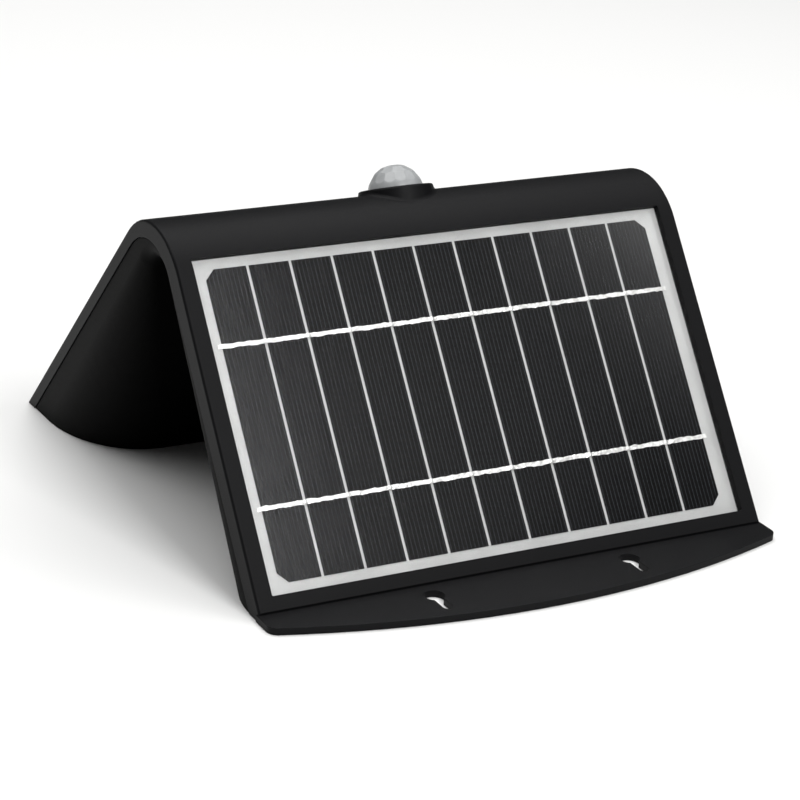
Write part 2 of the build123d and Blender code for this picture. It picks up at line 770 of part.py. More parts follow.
with BuildPart() as battery_cradle:
    with BuildSketch(battery_plane.offset(cradle_low)):
        with Locations((0, pack_centre)):
            Rectangle(2 * cradle_wall_x + 3, pack_height + 6)
    extrude(amount=cradle_floor)
    with BuildSketch(battery_plane.offset(cradle_low)):
        for side in (-1, 1):
            with Locations((side * (cradle_wall_x + 0.75), pack_centre)):
                Rectangle(1.5, pack_height + 6)
    extrude(amount=pack_axis - cradle_low + 3)
    with BuildSketch(battery_plane.offset(cradle_low)):
        with Locations((-20, pack_centre), (20, pack_centre)):
            Rectangle(3, pack_height + 4)
    extrude(amount=pack_axis - cradle_low - 2)
    with BuildSketch(battery_plane.offset(cover_wall + 6.0)):
        for side in (-1, 1):
            with Locations((side * (cradle_wall_x + 6), pack_centre)):
                Rectangle(12, 10)
        with Locations(*cradle_holes):
            Circle(m25 / 2 + screw_clearance, mode=Mode.SUBTRACT)
    extrude(amount=2.0)
    with BuildSketch(Plane(origin=(-cell_length / 2 - 0.5, 0, 0), x_dir=(0, 1, 0), z_dir=(1, 0, 0))):
        for site in battery_sites:
            spot = battery_plane.from_local_coords((0, site, pack_axis))
            with Locations((spot.Y, spot.Z)):
                Circle(cell_dia / 2 + 0.3)
    extrude(amount=cell_length + 1, mode=Mode.SUBTRACT)
finish(battery_cradle, "battery_cradle")

with BuildPart() as cradle_screws:
    with BuildSketch(battery_plane.offset(cover_wall + 8.0)):
        with Locations(*cradle_holes):
            Circle(m25_head / 2)
    extrude(amount=m25_head_height)
    with BuildSketch(battery_plane.offset(cover_wall + 2.0)):
        with Locations(*cradle_holes):
            Circle(m25 / 2)
    extrude(amount=6.0)
finish(cradle_screws, "cradle_screws")

# ================= control board =================
control_low = cover_wall + control_standoff
control_top = control_low + control_thickness
with BuildPart() as control_board:
    with BuildSketch(control_plane.offset(control_low)):
        with Locations((0, control_centre)):
            RectangleRounded(control_width, control_height, 2)
        with Locations(*control_holes):
            Circle(m25 / 2 + screw_clearance, mode=Mode.SUBTRACT)
    extrude(amount=control_thickness)
finish(control_board, "control_board")

with BuildPart() as control_chips:
    with BuildSketch(control_plane.offset(control_top)):
        with Locations((0, control_centre)):
            with Locations((-20, 4), (20, 3)):
                Rectangle(5.0, 4.0)
            with Locations((0, 4)):
                Rectangle(6.5, 6.5)
            with Locations((24, -13)):
                Rectangle(6.6, 6.1)
    extrude(amount=1.5)
finish(control_chips, "control_chips")

with BuildPart() as control_capacitors:
    with BuildSketch(control_plane.offset(control_top)):
        with Locations((-26, control_centre - 11), (-14, control_centre - 11)):
            Circle(4.0)
    extrude(amount=8.0)
    cap_tops = control_capacitors.faces().sort_by(Axis((0, 0, 0), control_plane.z_dir))[-2:]
    fillet(cap_tops.edges(), 0.6)
finish(control_capacitors, "control_capacitors")

with BuildPart() as control_inductor:
    with BuildSketch(control_plane.offset(control_top)):
        with Locations((5, control_centre - 11)):
            RectangleRounded(8, 8, 1.5)
    extrude(amount=4.5)
finish(control_inductor, "control_inductor")

connector_row = control_centre + control_height / 2 - 4.5
connector_sites = (-29.4, -10.0, 10.5, 31.0)
connector_depth = 5.0
connector_height = 4.6
with BuildPart() as control_connectors:
    with BuildSketch(control_plane.offset(control_top)):
        for site in connector_sites:
            with Locations((site, connector_row)):
                Rectangle(9.0, connector_depth)
    extrude(amount=connector_height)
finish(control_connectors, "control_connectors")

with BuildPart() as control_screws:
    with BuildSketch(control_plane.offset(control_top)):
        with Locations(*control_holes):
            Circle(m25_head / 2)
    extrude(amount=m25_head_height)
    with BuildSketch(control_plane.offset(cover_wall + 1.0)):
        with Locations(*control_holes):
            Circle(m25 / 2)
    extrude(amount=control_top - cover_wall - 1.0)
finish(control_screws, "control_screws")

# ================= mode button and its switch =================
flange_start = cover_wall + button_gap
plunger_top = flange_start + button_flange
switch_top = control_low - 3.0
plunger_dia = 3.4
with BuildPart() as mode_button:
    with BuildSketch(control_plane.offset(-button_proud)):
        with Locations((button_x, control_centre)):
            Circle(button_dia / 2)
    extrude(amount=button_proud + flange_start)
    button_face = mode_button.faces().sort_by(Axis((0, 0, 0), control_plane.z_dir))[0]
    fillet(button_face.edges(), 0.7)
    with BuildSketch(control_plane.offset(flange_start)):
        with Locations((button_x, control_centre)):
            Circle(button_dia / 2 + 1.5)
    extrude(amount=button_flange)
finish(mode_button, "mode_button")

with BuildPart() as switch_plunger:
    with BuildSketch(control_plane.offset(plunger_top)):
        with Locations((button_x, control_centre)):
            Circle(plunger_dia / 2)
    extrude(amount=switch_top + 1.0 - plunger_top)
finish(switch_plunger, "switch_plunger")

with BuildPart() as tact_switch:
    with BuildSketch(control_plane.offset(switch_top)):
        with Locations((button_x, control_centre)):
            Rectangle(6.0, 6.0)
    extrude(amount=3.0)
    with BuildSketch(control_plane.offset(switch_top)):
        with Locations((button_x, control_centre)):
            Circle(plunger_dia / 2 + 0.08)
    extrude(amount=1.0 + button_travel + 0.4, mode=Mode.SUBTRACT)
finish(tact_switch, "tact_switch")

# ================= vent =================
with BuildPart() as vent_plug:
    with BuildSketch(control_plane.offset(-0.9)):
        with Locations(vent_site):
            Circle(5.0)
    extrude(amount=0.9)
    with BuildSketch(control_plane):
        with Locations(vent_site):
            Circle(3.15)
    extrude(amount=cover_wall)
    with BuildSketch(control_plane.offset(cover_wall)):
        with Locations(vent_site):
            Circle(3.6)
    extrude(amount=0.8)
    with BuildSketch(control_plane.offset(-1)):
        with Locations(vent_site):
            Circle(1.2)
    extrude(amount=6, mode=Mode.SUBTRACT)
finish(vent_plug, "vent_plug")

# ================= screws =================
crest_pad_z = inner_top_z - 1.0
with BuildPart() as cover_screws:
    with BuildSketch(Plane.XY.offset(foot_recess - m3_head_height)):
        with Locations(*foot_screws):
            Circle(m3_head / 2)
    extrude(amount=m3_head_height)
    with BuildSketch(Plane.XY.offset(foot_recess)):
        with Locations(*foot_screws):
            Circle(m3 / 2)
    extrude(amount=m3_length)
    with BuildSketch(Plane.XY.offset(crest_pad_z - m3_head_height)):
        with Locations(*crest_screws):
            Circle(m3_head / 2)
    extrude(amount=m3_head_height)
    with BuildSketch(Plane.XY.offset(crest_pad_z)):
        with Locations(*crest_screws):
            Circle(m3 / 2)
    extrude(amount=m3_length)
finish(cover_screws, "cover_screws")

with BuildPart() as sensor_screws:
    with BuildSketch(sensor_plane.offset(sensor_board_back - m25_head_height)):
        with Locations(*sensor_holes):
            Circle(m25_head / 2)
    extrude(amount=m25_head_height)
    with BuildSketch(sensor_plane.offset(sensor_board_back)):
        with Locations(*sensor_holes):
            Circle(m25 / 2)
    extrude(amount=6.0)
finish(sensor_screws, "sensor_screws")


# ================= internal wires =================
def spot(plane, x, y, z):
    return plane.from_local_coords((x, y, z))


# The way from the lamp wing over the ridge into the control board's connectors.
def over_ridge(x):
    ridge_gap_z = (crest_seat_z + centre_z + ridge_radius - skin) / 2
    return [
        spot(lamp_plane, x, 40, -10),
        Vector(x, (inner_crest_y + centre_y) / 2, ridge_gap_z),
    ]


def into_connector(x, straight=6.0, clear=4.5):
    entry = connector_row + connector_depth / 2
    return [
        spot(face_plane, x, lead_turn, -tray_bottom - clear),
        spot(control_plane, x, entry + straight, control_top + 2),
        spot(control_plane, x, entry, control_top + 2),
    ]


def wire(points, dia, bend):
    shortest = min((end - start).length for start, end in zip(points, points[1:]))
    bend = min(bend, 0.4 * shortest)
    with BuildPart() as strand:
        with BuildLine():
            way = FilletPolyline(*points, radius=bend)
        with BuildSketch(Plane(origin=way @ 0, z_dir=way % 0)):
            Circle(dia / 2)
        sweep()
    return strand.part


with BuildPart() as panel_leads:
    for x in (lead_hole[0] - 1.5, lead_hole[0] + 1.5):
        start = [
            spot(face_plane, x, lead_hole[1], -board_back),
            spot(face_plane, x, lead_hole[1], -tray_bottom - 2.0),
        ]
        add(wire(start + into_connector(x, 2.2)[1:], wire_dia, 1.8))
finish(panel_leads, "panel_leads")

with BuildPart() as lamp_leads:
    for x in (connector_sites[3] - 1.5, connector_sites[3] + 1.5):
        start = [
            spot(lamp_plane, x, window_centre - led_board_height / 2 + 4, -led_board_back),
            spot(lamp_plane, x, window_centre - led_board_height / 2 + 4, -led_board_back - 4),
        ]
        add(wire(start + over_ridge(x) + into_connector(x), wire_dia, 1.8))
finish(lamp_leads, "lamp_leads")

with BuildPart() as battery_leads:
    tab_x = cell_length / 2 - wire_dia / 2
    top = battery_sites[-1] + cell_dia / 2 + 1.5
    left_x = connector_sites[0] - 1.8
    near = [
        spot(battery_plane, tab_x, top, pack_axis),
        spot(battery_plane, left_x * -1, top + 9, pack_axis),
    ]
    add(wire(near + over_ridge(left_x) + into_connector(left_x), wire_dia, 1.8))
    right_x = connector_sites[0] + 1.8
    far = [
        spot(battery_plane, -tab_x, top, pack_axis),
        spot(battery_plane, -tab_x, top + 4, pack_axis),
        spot(battery_plane, -right_x, top + 4, pack_axis),
    ]
    add(wire(far + over_ridge(right_x) + into_connector(right_x), wire_dia, 1.8))
finish(battery_leads, "battery_leads")

with BuildPart() as sensor_leads:
    for x in (connector_sites[1] - 1.6, connector_sites[1], connector_sites[1] + 1.6):
        start = [
            spot(sensor_plane, x, -8, sensor_board_back),
            spot(sensor_plane, x, -8, sensor_board_back - 1.4),
        ]
        add(wire(start + into_connector(x, clear=2.5), thin_wire_dia, 1.2))
finish(sensor_leads, "sensor_leads")
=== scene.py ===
from math import cos, pi, radians, sin

import bmesh
import bpy
from bpy.props import FloatProperty, FloatVectorProperty, IntProperty, PointerProperty
from bpy.types import Operator, Panel, PropertyGroup
from mathutils import Matrix, Quaternion, Vector


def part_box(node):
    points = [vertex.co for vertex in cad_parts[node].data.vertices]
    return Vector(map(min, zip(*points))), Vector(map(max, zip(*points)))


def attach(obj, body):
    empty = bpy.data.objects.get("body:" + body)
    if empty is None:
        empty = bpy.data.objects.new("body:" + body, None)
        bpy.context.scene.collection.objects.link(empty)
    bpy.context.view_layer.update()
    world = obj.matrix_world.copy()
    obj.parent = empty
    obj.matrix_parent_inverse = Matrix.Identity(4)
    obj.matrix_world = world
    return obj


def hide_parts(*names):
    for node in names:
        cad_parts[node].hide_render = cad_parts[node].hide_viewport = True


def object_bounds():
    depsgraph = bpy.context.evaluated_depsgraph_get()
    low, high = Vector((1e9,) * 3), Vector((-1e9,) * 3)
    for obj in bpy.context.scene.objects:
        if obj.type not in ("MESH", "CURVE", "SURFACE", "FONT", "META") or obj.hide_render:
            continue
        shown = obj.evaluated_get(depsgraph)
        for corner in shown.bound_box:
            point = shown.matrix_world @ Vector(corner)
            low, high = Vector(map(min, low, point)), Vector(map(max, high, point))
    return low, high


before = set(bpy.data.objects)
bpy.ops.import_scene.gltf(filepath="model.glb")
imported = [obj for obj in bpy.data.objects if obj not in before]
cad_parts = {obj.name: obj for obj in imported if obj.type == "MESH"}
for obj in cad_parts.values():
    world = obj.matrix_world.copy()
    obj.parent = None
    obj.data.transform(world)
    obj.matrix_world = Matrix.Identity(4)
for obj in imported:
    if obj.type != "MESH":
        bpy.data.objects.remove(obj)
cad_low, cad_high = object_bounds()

bl_info = {
    "name": "Solar Wall Lamp",
    "version": (1, 0, 0),
    "blender": (4, 5, 0),
    "location": "3D View > Sidebar > Wall Lamp",
    "description": "Finishes a two-winged solar wall lamp around its CAD frame",
    "category": "Object",
}

MM = 0.001
# How close a point may lie to a cutting plane before it counts as on it, in metres.
FINE = 1e-7

# How each group of pieces leans: a turn about the ridge's direction, as the lamp is drawn.
PANEL_TILT = radians(53.0)
LAMP_TILT = radians(-47.0)
SENSOR_TILT = radians(-22.0)
CONTROL_TILT = radians(64.0)
BATTERY_TILT = radians(-63.0)


def linear(code):
    """An sRGB hex colour as linear red, green and blue."""
    parts = [int(code[i:i + 2], 16) / 255 for i in (1, 3, 5)]
    return tuple(c / 12.92 if c <= 0.04045 else ((c + 0.055) / 1.055) ** 2.4 for c in parts)


def colour(name, code, description):
    return FloatVectorProperty(
        name=name, description=description, default=linear(code), size=3, min=0, max=1, subtype="COLOR"
    )


def length(name, millimetres, description):
    return FloatProperty(
        name=name, description=description, default=millimetres * MM, subtype="DISTANCE", unit="LENGTH",
        precision=5,
    )


def middle(node):
    low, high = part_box(node)
    return (low + high) / 2


def leaning(origin, tilt):
    """A place on the lamp, leaning with one of its faces."""
    return Matrix.Translation(origin) @ Matrix.Rotation(tilt, 4, "X")


# ---------------------------------------------------------------- shader helpers


def add_node(tree, kind, settings=None, links=None):
    """Adds a node, sets its properties or sockets, and links sources to its sockets."""
    made = tree.nodes.new(kind)
    for name, value in (settings or {}).items():
        if isinstance(name, int) or name in made.inputs:
            made.inputs[name].default_value = value
        else:
            setattr(made, name, value)
    for name, source in (links or {}).items():
        tree.links.new(source, made.inputs[name])
    return made


def new_material(name, settings):
    """A node material with its shader's own values set."""
    material = bpy.data.materials.new(name)
    material.use_nodes = True
    tree = material.node_tree
    shader = tree.nodes["Principled BSDF"]
    for socket, value in settings.items():
        shader.inputs[socket].default_value = value
    return material, tree, shader


def rgba(values):
    return (*values, 1.0)


def millimetre_space(tree, origin=(0, 0, 0), tilt=0.0):
    """Object coordinates in millimetres, centred on a piece and lying in its face."""
    turn = Matrix.Rotation(-tilt, 3, "X")
    shift = -(turn @ (Vector(origin) / MM))
    place = add_node(tree, "ShaderNodeTexCoord")
    return add_node(
        tree,
        "ShaderNodeMapping",
        {"vector_type": "POINT", "Location": shift, "Rotation": (-tilt, 0, 0), "Scale": (1 / MM,) * 3},
        {"Vector": place.outputs["Object"]},
    ).outputs["Vector"]


def two_tones(tree, factor, low, high, stops=(0.0, 1.0)):
    """A ramp between two colours."""
    ramp = add_node(tree, "ShaderNodeValToRGB", None, {"Fac": factor})
    for element, tone, stop in zip(ramp.color_ramp.elements, (low, high), stops):
        element.color = rgba(tone)
        element.position = stop
    return ramp.outputs["Color"]


def scaled(values, factor):
    return tuple(min(1.0, v * factor) for v in values)


def moulded(name, tone, roughness, grain=0.45, depth=0.02, edge=0.0, contrast=0.12, **extra):
    """A moulded surface: grain from the tool's finish in bump and gloss, faint flow clouds in its colour."""
    settings = {"Roughness": roughness, "IOR": 1.5}
    settings.update(extra)
    material, tree, shader = new_material(name, settings)
    space = millimetre_space(tree)
    pits = add_node(
        tree, "ShaderNodeTexNoise", {"Scale": 1 / grain, "Detail": 2.0, "Roughness": 0.6}, {"Vector": space}
    )
    cloud = add_node(tree, "ShaderNodeTexNoise", {"Scale": 1 / 38.0, "Detail": 3.0}, {"Vector": space})
    blend = add_node(
        tree,
        "ShaderNodeMath",
        {"operation": "MULTIPLY_ADD", 1: 0.55},
        {0: pits.outputs["Fac"], 2: cloud.outputs["Fac"]},
    )
    shade = two_tones(
        tree, blend.outputs[0], scaled(tone, 1 - contrast), scaled(tone, 1 + contrast), (0.45, 1.05)
    )
    tree.links.new(shade, shader.inputs["Base Color"])
    gloss = add_node(
        tree,
        "ShaderNodeMapRange",
        {"From Min": 0.3, "From Max": 0.7, "To Min": roughness - 0.05, "To Max": roughness + 0.06},
        {"Value": pits.outputs["Fac"]},
    )
    tree.links.new(gloss.outputs["Result"], shader.inputs["Roughness"])
    bump = add_node(
        tree, "ShaderNodeBump", {"Strength": 0.5, "Distance": depth * MM}, {"Height": pits.outputs["Fac"]}
    )
    if edge:
        rounding = add_node(tree, "ShaderNodeBevel", {"samples": 4, "Radius": edge * MM})
        tree.links.new(rounding.outputs["Normal"], bump.inputs["Normal"])
    tree.links.new(bump.outputs["Normal"], shader.inputs["Normal"])
    return material


def metal(name, tone, roughness, grain=0.25, depth=0.008, stretch=(1, 1, 1)):
    """A plated or rolled metal: fine grain in its gloss, with a little tarnish."""
    material, tree, shader = new_material(name, {"Metallic": 1.0, "Roughness": roughness})
    space = millimetre_space(tree)
    drawn = add_node(
        tree, "ShaderNodeMapping", {"vector_type": "POINT", "Scale": stretch}, {"Vector": space}
    )
    marks = add_node(
        tree, "ShaderNodeTexNoise", {"Scale": 1 / grain, "Detail": 2.0}, {"Vector": drawn.outputs["Vector"]}
    )
    tarnish = add_node(tree, "ShaderNodeTexNoise", {"Scale": 0.35, "Detail": 2.0}, {"Vector": space})
    shade = two_tones(tree, tarnish.outputs["Fac"], scaled(tone, 0.72), tone, (0.35, 0.6))
    tree.links.new(shade, shader.inputs["Base Color"])
    gloss = add_node(
        tree,
        "ShaderNodeMapRange",
        {"From Min": 0.3, "From Max": 0.7, "To Min": roughness - 0.08, "To Max": roughness + 0.1},
        {"Value": marks.outputs["Fac"]},
    )
    tree.links.new(gloss.outputs["Result"], shader.inputs["Roughness"])
    bump = add_node(
        tree, "ShaderNodeBump", {"Strength": 0.4, "Distance": depth * MM}, {"Height": marks.outputs["Fac"]}
    )
    tree.links.new(bump.outputs["Normal"], shader.inputs["Normal"])
    return material


def paint(node, material):
    """Gives a CAD node its finish."""
    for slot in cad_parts[node].material_slots:
        slot.material = material


# ---------------------------------------------------------------- modelling helpers


def start(add, name, **settings):
    """Adds a primitive with nothing else selected, and names it."""
    if bpy.context.object and bpy.context.object.mode != "OBJECT":
        bpy.ops.object.mode_set(mode="OBJECT")
    bpy.ops.object.select_all(action="DESELECT")
    add(**settings)
    piece = bpy.context.active_object
    piece.name = name
    piece.data.name = name
    return piece


def only(piece):
    bpy.ops.object.select_all(action="DESELECT")
    piece.select_set(True)
    bpy.context.view_layer.objects.active = piece


def edit(piece, kind="FACE"):
    """Opens a piece in edit mode with nothing selected."""
    only(piece)
    bpy.ops.object.mode_set(mode="EDIT")
    bpy.ops.mesh.select_mode(type=kind)
    bpy.ops.mesh.select_all(action="DESELECT")


def done():
    bpy.ops.object.mode_set(mode="OBJECT")


def pick(piece, test, kind="faces"):
    """Selects the faces, edges or vertices that pass a test."""
    mesh = bmesh.from_edit_mesh(piece.data)
    for element in getattr(mesh, kind):
        if test(element):
            element.select_set(True)
    mesh.select_flush(True)
    bmesh.update_edit_mesh(piece.data)


def apply_modifier(piece, kind, **settings):
    only(piece)
    made = piece.modifiers.new(kind.title(), kind)
    for name, value in settings.items():
        setattr(made, name, value)
    bpy.ops.object.modifier_apply(modifier=made.name)


def duplicate(piece, name, place):
    """A copy with its own mesh, at its own place."""
    copy = piece.copy()
    copy.data = piece.data.copy()
    copy.name = name
    copy.data.name = name
    copy.matrix_world = place
    bpy.context.scene.collection.objects.link(copy)
    return copy


def settle(piece, place=None):
    """Puts a piece's place into its mesh, so that its object stays at the origin."""
    only(piece)
    if place is not None:
        piece.matrix_world = place @ piece.matrix_world
    bpy.context.view_layer.update()
    bpy.ops.object.transform_apply(location=True, rotation=True, scale=True)


def joined(pieces, name):
    bpy.ops.object.select_all(action="DESELECT")
    for piece in pieces:
        piece.select_set(True)
    bpy.context.view_layer.objects.active = pieces[0]
    bpy.ops.object.join()
    whole = bpy.context.active_object
    whole.name = name
    whole.data.name = name
    return whole


def outwards(piece):
    edit(piece)
    bpy.ops.mesh.select_all(action="SELECT")
    bpy.ops.mesh.normals_make_consistent(inside=False)
    done()


def dress(piece, material, slot, body, *nodes):
    """Finishes a piece, hangs it on its body and lets it stand for its CAD nodes."""
    piece.data.materials.clear()
    for layer in material if isinstance(material, list) else [material]:
        piece.data.materials.append(layer)
    if nodes:
        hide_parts(*nodes)
    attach(piece, body)


# ---------------------------------------------------------------- settings


class WallLampHousing(PropertyGroup):
    black: colour("Housing black", "#08080a", "Colour of the textured housing")
    # Set darker than the housing's black: painted shade for the inside of the wings.
    cover_black: colour("Cover black and painted shade", "#050505", "Colour of the smoother inner cover")
    grain: length("Grain", 0.5, "Width of one pit in the housing's texture")
    edge: length("Edge", 0.35, "How softly the moulded edges turn")


class WallLampPanel(PropertyGroup):
    border_white: colour("Border white", "#cbcccb", "Solder mask round the cells")
    cell: colour("Cell", "#030304", "Anti-reflection coated silicon")
    finger: colour("Finger", "#33363a", "Fired silver lines on the cells")
    tin: colour("Tin", "#f6f6f4", "Tinned busbars")
    cell_pitch: length("Cell pitch", 20.0, "Distance between neighbouring cells")
    finger_pitch: length("Finger pitch", 1.9, "Distance between the silver lines")
    finger_width: length("Finger width", 0.34, "Width of a silver line as drawn")
    crumple: length("Crumple", 0.16, "Height of the busbars' wrinkles")
    cover_edge: length("Cover edge", 0.7, "Bevel round the clear layer")


class WallLampSensor(PropertyGroup):
    lens: colour("Lens", "#a8aaab", "Milky polyethylene lens")
    radius: length("Radius", 12.6, "Outer radius of the lens dome")
    wall: length("Wall", 1.0, "Wall of the dome")
    flange_radius: length("Flange radius", 14.6, "Radius of the dome's flange")
    flange_drop: length("Flange drop", 3.3, "From the dome's centre down to its flange")
    flange: length("Flange", 1.2, "Thickness of the flange")
    facet_radius: length("Facet radius", 2.85, "Radius of one lens cell on the dome")


class WallLampLight(PropertyGroup):
    opal: colour("Opal", "#e9ebe8", "Frosted lamp window")
    phosphor: colour("Phosphor", "#e3b23c", "Phosphor in the LED packages")
    led_length: length("LED length", 3.5, "Length of one LED package")
    led_width: length("LED width", 2.8, "Width of one LED package")
    led_height: length("LED height", 0.7, "Height of one LED package")
    column_pitch: length("Column pitch", 16.0, "Distance between LED columns")
    row_pitch: length("Row pitch", 15.0, "Distance between LED rows")
    columns: IntProperty(name="Columns", description="LEDs along the window", default=12, min=1)
    rows: IntProperty(name="Rows", description="LEDs down the window", default=6, min=1)


class WallLampStage(PropertyGroup):
    floor: colour("Floor", "#f2f2f1", "Plain floor")
    camera_place: FloatVectorProperty(
        name="Camera", description="Camera position", default=(-0.5558, -0.9578, 0.4777),
        subtype="XYZ", unit="LENGTH",
    )
    azimuth: FloatProperty(
        name="Azimuth", description="Camera round the lamp", default=radians(-30.09), subtype="ANGLE"
    )
    elevation: FloatProperty(
        name="Elevation", description="Camera above the horizon", default=radians(21.675), subtype="ANGLE"
    )
    roll: FloatProperty(
        name="Roll", description="Camera turned about its view", default=radians(3.66), subtype="ANGLE"
    )
    lens: FloatProperty(name="Lens", description="Focal length in millimetres", default=117.9, min=10)


# ---------------------------------------------------------------- finishes of CAD nodes


class WALLLAMP_OT_finish_housing(Operator):
    """Gives the housing, the cover and their seal and vent their finish"""

    bl_idname = "wall_lamp.finish_housing"
    bl_label = "Finish Housing"

    def execute(self, context):
        housing = context.scene.wall_lamp_housing
        # ABS moulded in a spark-eroded tool: an even matt black with a fine grain and a broad, dull sheen.
        black = moulded(
            "Spark-textured black ABS", tuple(housing.black), 0.52, housing.grain / MM, 0.03, housing.edge / MM,
            **{"Specular IOR Level": 0.14}
        )
        paint("outer_housing", black)
        # The inner cover's tool is only lightly blasted: smoother, so it takes softer highlights. Its black is
        # set darker than the housing's as painted shade for the inside of the wings.
        cover = moulded(
            "Satin black ABS", tuple(housing.cover_black), 0.5, 0.35, 0.012, housing.edge / MM, contrast=0.08,
            **{"Specular IOR Level": 0.03}
        )
        paint("inner_cover", cover)
        # Closed-cell silicone sponge: dull, nearly black.
        paint("housing_seal", moulded("Black silicone sponge", linear("#121212"), 0.8, 0.3, 0.04))
        # Vent plug in glass-filled nylon around a membrane.
        paint("vent_plug", moulded("Black nylon", linear("#1a1a1b"), 0.48, 0.3, 0.015, 0.2))
        return {"FINISHED"}


# The laminate wets everything under it, so its gloss lies on each of those surfaces as a coat.
LAMINATE = {"Coat Weight": 1.0, "Coat Roughness": 0.13, "Coat IOR": 1.5}


def panel_board_finish(panel):
    """FR4 under white solder mask: an even cool white with a faint glass-weave print-through."""
    material, tree, shader = new_material("White solder mask", {"Roughness": 0.38, "IOR": 1.5, **LAMINATE})
    space = millimetre_space(tree, middle("panel_board"), PANEL_TILT)
    weave = add_node(tree, "ShaderNodeTexChecker", {"Scale": 1 / 0.8}, {"Vector": space})
    cloud = add_node(tree, "ShaderNodeTexNoise", {"Scale": 1 / 22.0, "Detail": 4.0}, {"Vector": space})
    white = tuple(panel.border_white)
    shade = two_tones(tree, cloud.outputs["Fac"], scaled(white, 0.93), scaled(white, 1.03), (0.35, 0.65))
    tree.links.new(shade, shader.inputs["Base Color"])
    bump = add_node(
        tree, "ShaderNodeBump", {"Strength": 0.3, "Distance": 0.004 * MM}, {"Height": weave.outputs["Fac"]}
    )
    tree.links.new(bump.outputs["Normal"], shader.inputs["Normal"])
    return material


def cell_finish(panel):
    """Monocrystalline silicon, blue-black under its coating, with silver lines down each cell."""
    material, tree, shader = new_material(
        "Monocrystalline silicon", {"Roughness": 0.4, "IOR": 1.5, "Specular IOR Level": 0.04, **LAMINATE}
    )
    low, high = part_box("solar_cells")
    space = millimetre_space(tree, (low + high) / 2, PANEL_TILT)
    along = add_node(tree, "ShaderNodeSeparateXYZ", None, {"Vector": space}).outputs["X"]
    pitch = panel.finger_pitch / MM
    half_width = panel.finger_width / MM / 2
    half_cell = panel.cell_pitch / MM / 2
    # The middle cell is centred on the array, so lines lie half a pitch either side of every cell's middle.
    from_cell = add_node(
        tree, "ShaderNodeMath", {"operation": "WRAP", 1: half_cell, 2: -half_cell}, {0: along}
    )
    from_line = add_node(
        tree, "ShaderNodeMath", {"operation": "WRAP", 1: pitch, 2: 0.0}, {0: from_cell.outputs[0]}
    )
    offset = add_node(
        tree, "ShaderNodeMath", {"operation": "SUBTRACT", 1: pitch / 2}, {0: from_line.outputs[0]}
    )
    away = add_node(tree, "ShaderNodeMath", {"operation": "ABSOLUTE"}, {0: offset.outputs[0]})
    line = add_node(
        tree,
        "ShaderNodeMapRange",
        {"From Min": half_width * 0.4, "From Max": half_width * 1.6, "To Min": 1.0, "To Max": 0.0},
        {"Value": away.outputs[0]},
    )
    # The print breaks up a little, which shows as beads along each line.
    beads = add_node(
        tree, "ShaderNodeTexNoise", {"Scale": 0.9, "Detail": 3.0, "Roughness": 0.7}, {"Vector": space}
    )
    broken = add_node(
        tree,
        "ShaderNodeMapRange",
        {"From Min": 0.35, "From Max": 0.7, "To Min": 0.35, "To Max": 1.0},
        {"Value": beads.outputs["Fac"]},
    )
    drawn = add_node(
        tree,
        "ShaderNodeMath",
        {"operation": "MULTIPLY"},
        {0: line.outputs["Result"], 1: broken.outputs["Result"]},
    )
    # Each cell comes from its own wafer, so their blacks differ slightly.
    count = add_node(
        tree, "ShaderNodeMath", {"operation": "MULTIPLY_ADD", 1: MM / panel.cell_pitch, 2: 0.5}, {0: along}
    )
    wafer = add_node(tree, "ShaderNodeMath", {"operation": "FLOOR"}, {0: count.outputs[0]})
    tint = add_node(tree, "ShaderNodeTexWhiteNoise", {"noise_dimensions": "1D"}, {"W": wafer.outputs[0]})
    silicon = tuple(panel.cell)
    shade = two_tones(tree, tint.outputs["Value"], scaled(silicon, 0.7), scaled(silicon, 1.7))
    # Sockets 6 and 7 are the node's two colours, and output 2 their mix.
    mix = add_node(
        tree,
        "ShaderNodeMix",
        {"data_type": "RGBA", 7: rgba(tuple(panel.finger))},
        {"Factor": drawn.outputs[0], 6: shade},
    )
    tree.links.new(mix.outputs[2], shader.inputs["Base Color"])
    rough = add_node(
        tree,
        "ShaderNodeMapRange",
        {"From Min": 0.0, "From Max": 1.0, "To Min": 0.3, "To Max": 0.6},
        {"Value": drawn.outputs[0]},
    )
    tree.links.new(rough.outputs["Result"], shader.inputs["Roughness"])
    return material


class WALLLAMP_OT_finish_panel(Operator):
    """Gives the solar board, its cells and the glue under them their finish"""

    bl_idname = "wall_lamp.finish_panel"
    bl_label = "Finish Panel"

    def execute(self, context):
        panel = context.scene.wall_lamp_panel
        paint("panel_board", panel_board_finish(panel))
        paint("solar_cells", cell_finish(panel))
        # Neutral-cure silicone bead under the board.
        paint("panel_adhesive", moulded("Grey silicone glue", linear("#8b8d8c"), 0.45, 1.4, 0.12))
        return {"FINISHED"}


